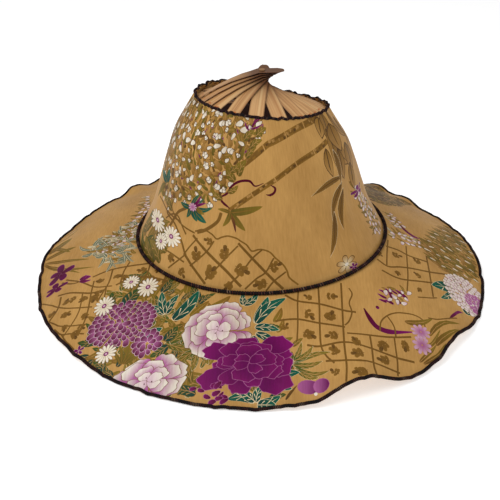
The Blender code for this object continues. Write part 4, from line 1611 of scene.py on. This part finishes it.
def slat_stations(azimuths, hubs):
    """Stations from the tail's end outwards: distance, height, half width, slope across."""
    zero = np.zeros_like(azimuths)
    half = SLAT_HUB_WIDTH / 2
    numbers = np.arange(1, len(azimuths) + 1)
    end_halves = SLAT_END_WIDTH / 2 * np.array([SLAT_NARROWER.get(n, 1.0) for n in numbers])
    tails, bends = np.array([[row[1:] for row in SLAT_TAILS if row[0] <= n][-1] for n in numbers]).T
    stations = []
    for back, share in SLAT_TAIL_END:
        bent = np.clip((tails - back - SLAT_BEND_START) / (tails - SLAT_BEND_START), 0, 1)
        stations.append((back - tails, hubs + bends * bent, zero + half * share, zero))
    stations.append((zero - np.minimum(SLAT_BEND_START, tails / 2), hubs, zero + half, zero))
    stations += [(zero + side * SLAT_HUB_FLAT, hubs, zero + half, zero) for side in (-1, 1)]
    under = [crown_point(azimuths, zero + share, inset, gathered=0.0) for share, inset in SLAT_UNDER]
    radii = [np.hypot(p[:, 0] - TOP["x"], p[:, 1] - TOP["y"]) for p in under]
    for share in SLAT_DOME:
        left = (1 - share ** 2) * SLAT_ROUND + (1 - share) * (1 - SLAT_ROUND)
        height = under[0][:, 2] + (hubs - under[0][:, 2]) * left
        slope = shingle_slopes(azimuths, height, share * radii[0].mean(),
                               SLAT_SPARE * min(1, share / 0.4))
        stations.append((share * radii[0], height, half + (end_halves - half) * share, slope))
    for radius, point in zip(radii, under):
        slope = shingle_slopes(azimuths, point[:, 2] / 2, radius.mean())
        stations.append((radius, point[:, 2], end_halves, slope))
    return np.array(stations)


# How far the slats are darkened towards the pivot and on their tails, partly browning and partly painted
# shade where they crowd in a stack, and up to where from the pivot
SLAT_BROWN_AND_SHADE = 0.88
SLAT_BROWN_AND_SHADE_TAIL = 0.90
SLAT_BROWN_AND_SHADE_UP_TO = 0.007
SLAT_BROWN_AND_SHADE_FADE = 0.013
SLAT_GRAIN_SHIFT = 0.31         # from one slat to the next, so that no two have the same grain


def make_slat(number, azimuth, rows):
    """A strip along the stations, a little thinner at its rims, with an upper and a lower face."""
    # On a short tail two stations fall in one place, and the second is dropped
    rows = rows[np.append(True, np.diff(rows[:, 0]) > 1e-6)]
    places = np.arange(len(rows))
    fine = np.linspace(0, len(rows) - 1, SLAT_ALONG * (len(rows) - 1) + 1)
    rows = np.stack([np.interp(fine, places, rows[:, k]) for k in range(4)], axis=1)
    ahead = np.gradient(rows[:, :2], axis=0)
    ahead /= np.linalg.norm(ahead, axis=1)[:, None]
    outwards = np.array([cos(azimuth), sin(azimuth), 0])
    leftwards = np.array([-sin(azimuth), cos(azimuth), 0])
    up = np.array([0, 0, 1])
    middle = np.array([TOP["x"], TOP["y"], 0]) + rows[:, :1] * outwards + rows[:, 1:2] * up
    normal = ahead[:, :1] * up - ahead[:, 1:] * outwards
    across = (leftwards + rows[:, 3:] * normal) * rows[:, 2:3]
    share = np.array(SLAT_ACROSS)
    thin = np.where(np.abs(share) > 0.99, SLAT_RIM_THIN, 1.0) * SLAT_THICK / 2
    loop = np.concatenate([share, share[::-1]])
    side = np.concatenate([thin, -thin[::-1]])
    points = middle[:, None] + loop[None, :, None] * across[:, None] + side[None, :, None] * normal[:, None]
    steps, around = len(rows) - 1, len(loop)
    faces = grid_faces(steps, around, False, True)
    faces.append(list(range(around - 1, -1, -1)))
    faces.append([steps * around + k for k in range(around)])
    faces = [face[::-1] for face in faces]
    name = f"bamboo_{number:02d}"
    made = mesh_object(name, points.reshape(-1, 3), faces, smooth=False)
    u = np.repeat(rows[:, 0], around) + SLAT_GRAIN_SHIFT * number
    v = np.tile(loop, steps + 1) * SLAT_END_WIDTH / 2
    add_uv(made.data, np.stack([u, v], axis=1))
    # Darker towards the pivot and on the tails: partly the bamboo's browning, partly painted shade of the
    # crowded stack
    fade = np.exp(-np.maximum(rows[:, 0] - SLAT_BROWN_AND_SHADE_UP_TO, 0) / SLAT_BROWN_AND_SHADE_FADE)
    browned = np.where(rows[:, 0] > 0, fade * SLAT_BROWN_AND_SHADE, SLAT_BROWN_AND_SHADE_TAIL)
    add_values(made.data, "browned", np.repeat(browned, around))
    add_values(made.data, "from_pivot", np.repeat(rows[:, 0], around))
    add_values(made.data, "sideways", np.tile(np.abs(loop), steps + 1))
    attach(made, "root")
    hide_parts(f"slat_{number:02d}")
    return made


def make_slats():
    azimuths, hubs = slat_fan()
    stations = slat_stations(azimuths, hubs)
    return [make_slat(n, a, stations[:, :, n - 1]) for n, a in enumerate(azimuths, start=1)]


# Materials
def new_material(name):
    made = bpy.data.materials.new(name)
    made.use_nodes = True
    return made, made.node_tree.nodes, made.node_tree.links


def stretched(nodes, links, scale):
    """The piece's own UV map, scaled differently each way."""
    uv = nodes.new('ShaderNodeUVMap')
    uv.uv_map = "pattern"
    mapping = nodes.new('ShaderNodeMapping')
    mapping.inputs["Scale"].default_value = scale
    links.new(uv.outputs["UV"], mapping.inputs["Vector"])
    return mapping.outputs["Vector"]


def noise(nodes, links, vector, scale, detail):
    made = nodes.new('ShaderNodeTexNoise')
    made.inputs["Scale"].default_value = scale
    made.inputs["Detail"].default_value = detail
    links.new(vector, made.inputs["Vector"])
    return made.outputs["Fac"]


def ramp(nodes, links, value, stops):
    """Colours, as on a screen, along a value."""
    made = nodes.new('ShaderNodeValToRGB')
    elements = made.color_ramp.elements
    for k, (place, colour) in enumerate(stops):
        spot = elements[k] if k < 2 else elements.new(place)
        spot.position = place
        spot.color = (*tone(*colour), 1)
    links.new(value, made.inputs["Fac"])
    return made.outputs["Color"]


def given(links, value, socket):
    """Joins another node's output to a socket, or sets it to a plain value."""
    if hasattr(value, "links"):
        links.new(value, socket)
    else:
        socket.default_value = value


def mixed(nodes, links, mode, share, first, second):
    made = nodes.new('ShaderNodeMix')
    made.data_type = 'RGBA'
    made.blend_type = mode
    for value, socket in ((share, made.inputs[0]), (first, made.inputs[6]), (second, made.inputs[7])):
        given(links, value, socket)
    return made.outputs[2]


def bumped(nodes, links, height, distance, strength, under=None):
    made = nodes.new('ShaderNodeBump')
    made.inputs["Distance"].default_value = distance
    made.inputs["Strength"].default_value = strength
    links.new(height, made.inputs["Height"])
    if under:
        links.new(under, made.inputs["Normal"])
    return made.outputs["Normal"]


def math(nodes, links, kind, first, second=0.0):
    made = nodes.new('ShaderNodeMath')
    made.operation = kind
    for value, socket in ((first, made.inputs[0]), (second, made.inputs[1])):
        given(links, value, socket)
    return made.outputs[0]


def satin_material():
    """Printed satin: the print's colours, fine slubs, a weave and soft creases."""
    made, nodes, links = new_material("printed satin")
    shader = nodes["Principled BSDF"]
    colour = nodes.new('ShaderNodeAttribute')
    colour.attribute_name = "print"
    slubs = noise(nodes, links, stretched(nodes, links, (5, 0.8, 1)), 150, 3)
    washed = noise(nodes, links, stretched(nodes, links, (1.6, 0.8, 1)), 22, 2)
    uneven = math(nodes, links, 'ADD', math(nodes, links, 'MULTIPLY', slubs, 0.4),
                  math(nodes, links, 'MULTIPLY', washed, 0.6))
    shade = ramp(nodes, links, uneven, ((0.34, (222, 216, 204)), (0.64, (255, 254, 250))))
    shaded = mixed(nodes, links, 'MULTIPLY', 1.0, colour.outputs["Color"], shade)
    links.new(shaded, shader.inputs["Base Color"])
    warp = nodes.new('ShaderNodeTexWave')
    warp.inputs["Scale"].default_value = 700
    warp.inputs["Distortion"].default_value = 0.4
    links.new(stretched(nodes, links, (1, 1, 1)), warp.inputs["Vector"])
    weft = nodes.new('ShaderNodeTexWave')
    weft.bands_direction = 'Y'
    weft.inputs["Scale"].default_value = 600
    links.new(stretched(nodes, links, (1, 1, 1)), weft.inputs["Vector"])
    weave = math(nodes, links, 'ADD', warp.outputs["Fac"], weft.outputs["Fac"])
    fine = bumped(nodes, links, weave, 0.00003, 0.6)
    creases = noise(nodes, links, stretched(nodes, links, (1, 0.22, 1)), 60, 2)
    links.new(bumped(nodes, links, creases, 0.0016, 0.5, fine), shader.inputs["Normal"])
    shader.inputs["Roughness"].default_value = 0.52
    shader.inputs["Specular IOR Level"].default_value = 0.10
    return made


def thread_material():
    """Black overlock thread with single dark-red and gold stitches."""
    made, nodes, links = new_material("overlock thread")
    shader = nodes["Principled BSDF"]
    worn = noise(nodes, links, stretched(nodes, links, (130, 0.5, 1)), 1.0, 1)
    flecks = ramp(nodes, links, worn, ((0.42, (22, 18, 19)), (0.53, (86, 38, 33)), (0.67, (132, 106, 86))))
    shown = ramp(nodes, links, attribute(nodes, "crest"), ((0.69, (0, 0, 0)), (0.93, (255, 255, 255))))
    black = (*tone(22, 18, 19), 1)
    links.new(mixed(nodes, links, 'MIX', shown, black, flecks), shader.inputs["Base Color"])
    fibres = noise(nodes, links, stretched(nodes, links, (6000, 9, 1)), 1.0, 2)
    links.new(bumped(nodes, links, fibres, 0.0001, 0.7), shader.inputs["Normal"])
    shader.inputs["Roughness"].default_value = 0.85
    shader.inputs["Specular IOR Level"].default_value = 0.15
    return made


def attribute(nodes, name):
    made = nodes.new('ShaderNodeAttribute')
    made.attribute_name = name
    return made.outputs["Fac"]


STITCHES_FROM_PIVOT = 0.0438    # the row of stitches across each slat, in metres


def marked(nodes, links, colour):
    """Side edges darkened, partly the bamboo's darker rims and partly painted shade between the slats, and
    the orange thread that sews a strip to the crown near its end.
    """
    black, white = (0, 0, 0), (255, 255, 255)
    # Painted shade between neighbouring slats, with the bamboo's darker rims: the colour darkens towards each
    # side edge
    edge = ramp(nodes, links, attribute(nodes, "sideways"), ((0.80, black), (0.97, (190, 190, 190))))
    colour = mixed(nodes, links, 'MIX', edge, colour, (*tone(96, 58, 36), 1))
    past = math(nodes, links, 'SUBTRACT', attribute(nodes, "from_pivot"), STITCHES_FROM_PIVOT)
    away = math(nodes, links, 'ABSOLUTE', past)
    row = ramp(nodes, links, math(nodes, links, 'MULTIPLY', away, 1000), ((0.35, white), (0.75, black)))
    middle = ramp(nodes, links, attribute(nodes, "sideways"), ((0.34, white), (0.48, black)))
    gaps = noise(nodes, links, stretched(nodes, links, (700, 900, 1)), 1.0, 0)
    kept = ramp(nodes, links, gaps, ((0.44, black), (0.52, white)))
    shown = mixed(nodes, links, 'MULTIPLY', 1.0, mixed(nodes, links, 'MULTIPLY', 1.0, row, middle), kept)
    return mixed(nodes, links, 'MIX', shown, colour, (*tone(176, 92, 36), 1))


def bamboo_material(name="bamboo strip", worn=None):
    """Split bamboo: long fibres, paler and darker streaks, darkened towards the pivot by browning and painted
    shade, or worn all over.
    """
    made, nodes, links = new_material(name)
    shader = nodes["Principled BSDF"]
    fibres = noise(nodes, links, stretched(nodes, links, (10, 1300, 1)), 1.0, 3)
    streaks = noise(nodes, links, stretched(nodes, links, (6, 330, 1)), 1.0, 2)
    base = ramp(nodes, links, streaks,
                ((0.30, (172, 120, 74)), (0.50, (204, 156, 104)), (0.72, (222, 182, 128))))
    lines = ramp(nodes, links, fibres, ((0.32, (170, 150, 130)), (0.46, (250, 248, 244))))
    grain = mixed(nodes, links, 'MULTIPLY', 0.55, base, lines)
    # The dark brown that the slats take towards the pivot: browning together with painted shade
    dark = (*tone(76, 44, 28), 1)
    colour = mixed(nodes, links, 'MIX', worn or attribute(nodes, "browned"), grain, dark)
    if not worn:
        colour = marked(nodes, links, colour)
    links.new(colour, shader.inputs["Base Color"])
    links.new(bumped(nodes, links, fibres, 0.00012, 0.6), shader.inputs["Normal"])
    shader.inputs["Roughness"].default_value = 0.46
    shader.inputs["Specular IOR Level"].default_value = 0.35
    return made


LAMPS = (
    # name, place, size, power
    ("key", (-0.62, -0.44, 1.2), 0.8, 10.8),
    ("fill", (0.9, -0.4, 0.9), 0.9, 2.8),
)
LAMPS_AIM = (0, 0, 0.05)


def studio():
    world = bpy.data.worlds.new("studio")
    world.use_nodes = True
    nodes, links = world.node_tree.nodes, world.node_tree.links
    background = nodes["Background"]
    background.inputs["Color"].default_value = (1, 1, 1, 1)
    seen = nodes.new('ShaderNodeLightPath').outputs["Is Camera Ray"]
    strength = nodes.new('ShaderNodeMapRange')
    strength.inputs["To Min"].default_value = 0.42
    strength.inputs["To Max"].default_value = 1.0
    links.new(seen, strength.inputs["Value"])
    links.new(strength.outputs["Result"], background.inputs["Strength"])
    scene.world = world
    scene.view_settings.view_transform = 'Standard'
    for name, place, size, power in LAMPS:
        light = bpy.data.lights.new(name, 'AREA')
        light.size = size
        light.energy = power
        lamp = bpy.data.objects.new(name, light)
        scene.collection.objects.link(lamp)
        lamp.location = place
        lamp.rotation_euler = (Vector(LAMPS_AIM) - lamp.location).to_track_quat('-Z', 'Y').to_euler()
    floor = bpy.data.meshes.new("floor")
    floor.from_pydata([(-3, -3, 0), (3, -3, 0), (3, 3, 0), (-3, 3, 0)], [], [(0, 1, 2, 3)])
    made = bpy.data.objects.new("floor", floor)
    scene.collection.objects.link(made)
    made.location.z = -0.0002
    plain, nodes, _ = new_material("floor")
    shader = nodes["Principled BSDF"]
    shader.inputs["Base Color"].default_value = (0.8, 0.8, 0.8, 1)
    shader.inputs["Roughness"].default_value = 0.9
    shader.inputs["Emission Color"].default_value = (1, 1, 1, 1)
    shader.inputs["Emission Strength"].default_value = 0.5
    floor.materials.append(plain)


def camera():
    """The photograph's viewpoint, aimed a little left of the brim's middle."""
    lens = bpy.data.cameras.new("camera")
    lens.lens = CAMERA_LENS
    lens.sensor_width = 36
    lens.clip_start = 0.01
    made = bpy.data.objects.new("camera", lens)
    scene.collection.objects.link(made)
    right, up = CAMERA_AIM
    made.location = (right + MIDDLE[0], -CAMERA_AWAY * cos(CAMERA_TILT), up + CAMERA_AWAY * sin(CAMERA_TILT))
    made.rotation_euler = (pi / 2 - CAMERA_TILT, 0, 0)
    scene.camera = made


PIN_WORN = 0.6                  # the pin's share of brown

satin, thread, bamboo = satin_material(), thread_material(), bamboo_material()
crown, brim = make_crown(), make_brim()
brim_edge_piece, crown_edge_piece, waist_piece = make_edges()
strips = make_slats()
for pieces, finish in (((crown, brim), satin), ((brim_edge_piece, crown_edge_piece, waist_piece), thread),
                       (strips, bamboo)):
    for piece in pieces:
        piece.data.materials.append(finish)
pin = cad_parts["pivot_pin"]
pin.material_slots[0].material = bamboo_material("worn bamboo pin", PIN_WORN)
# The lights, the floor and the camera
studio()
camera()
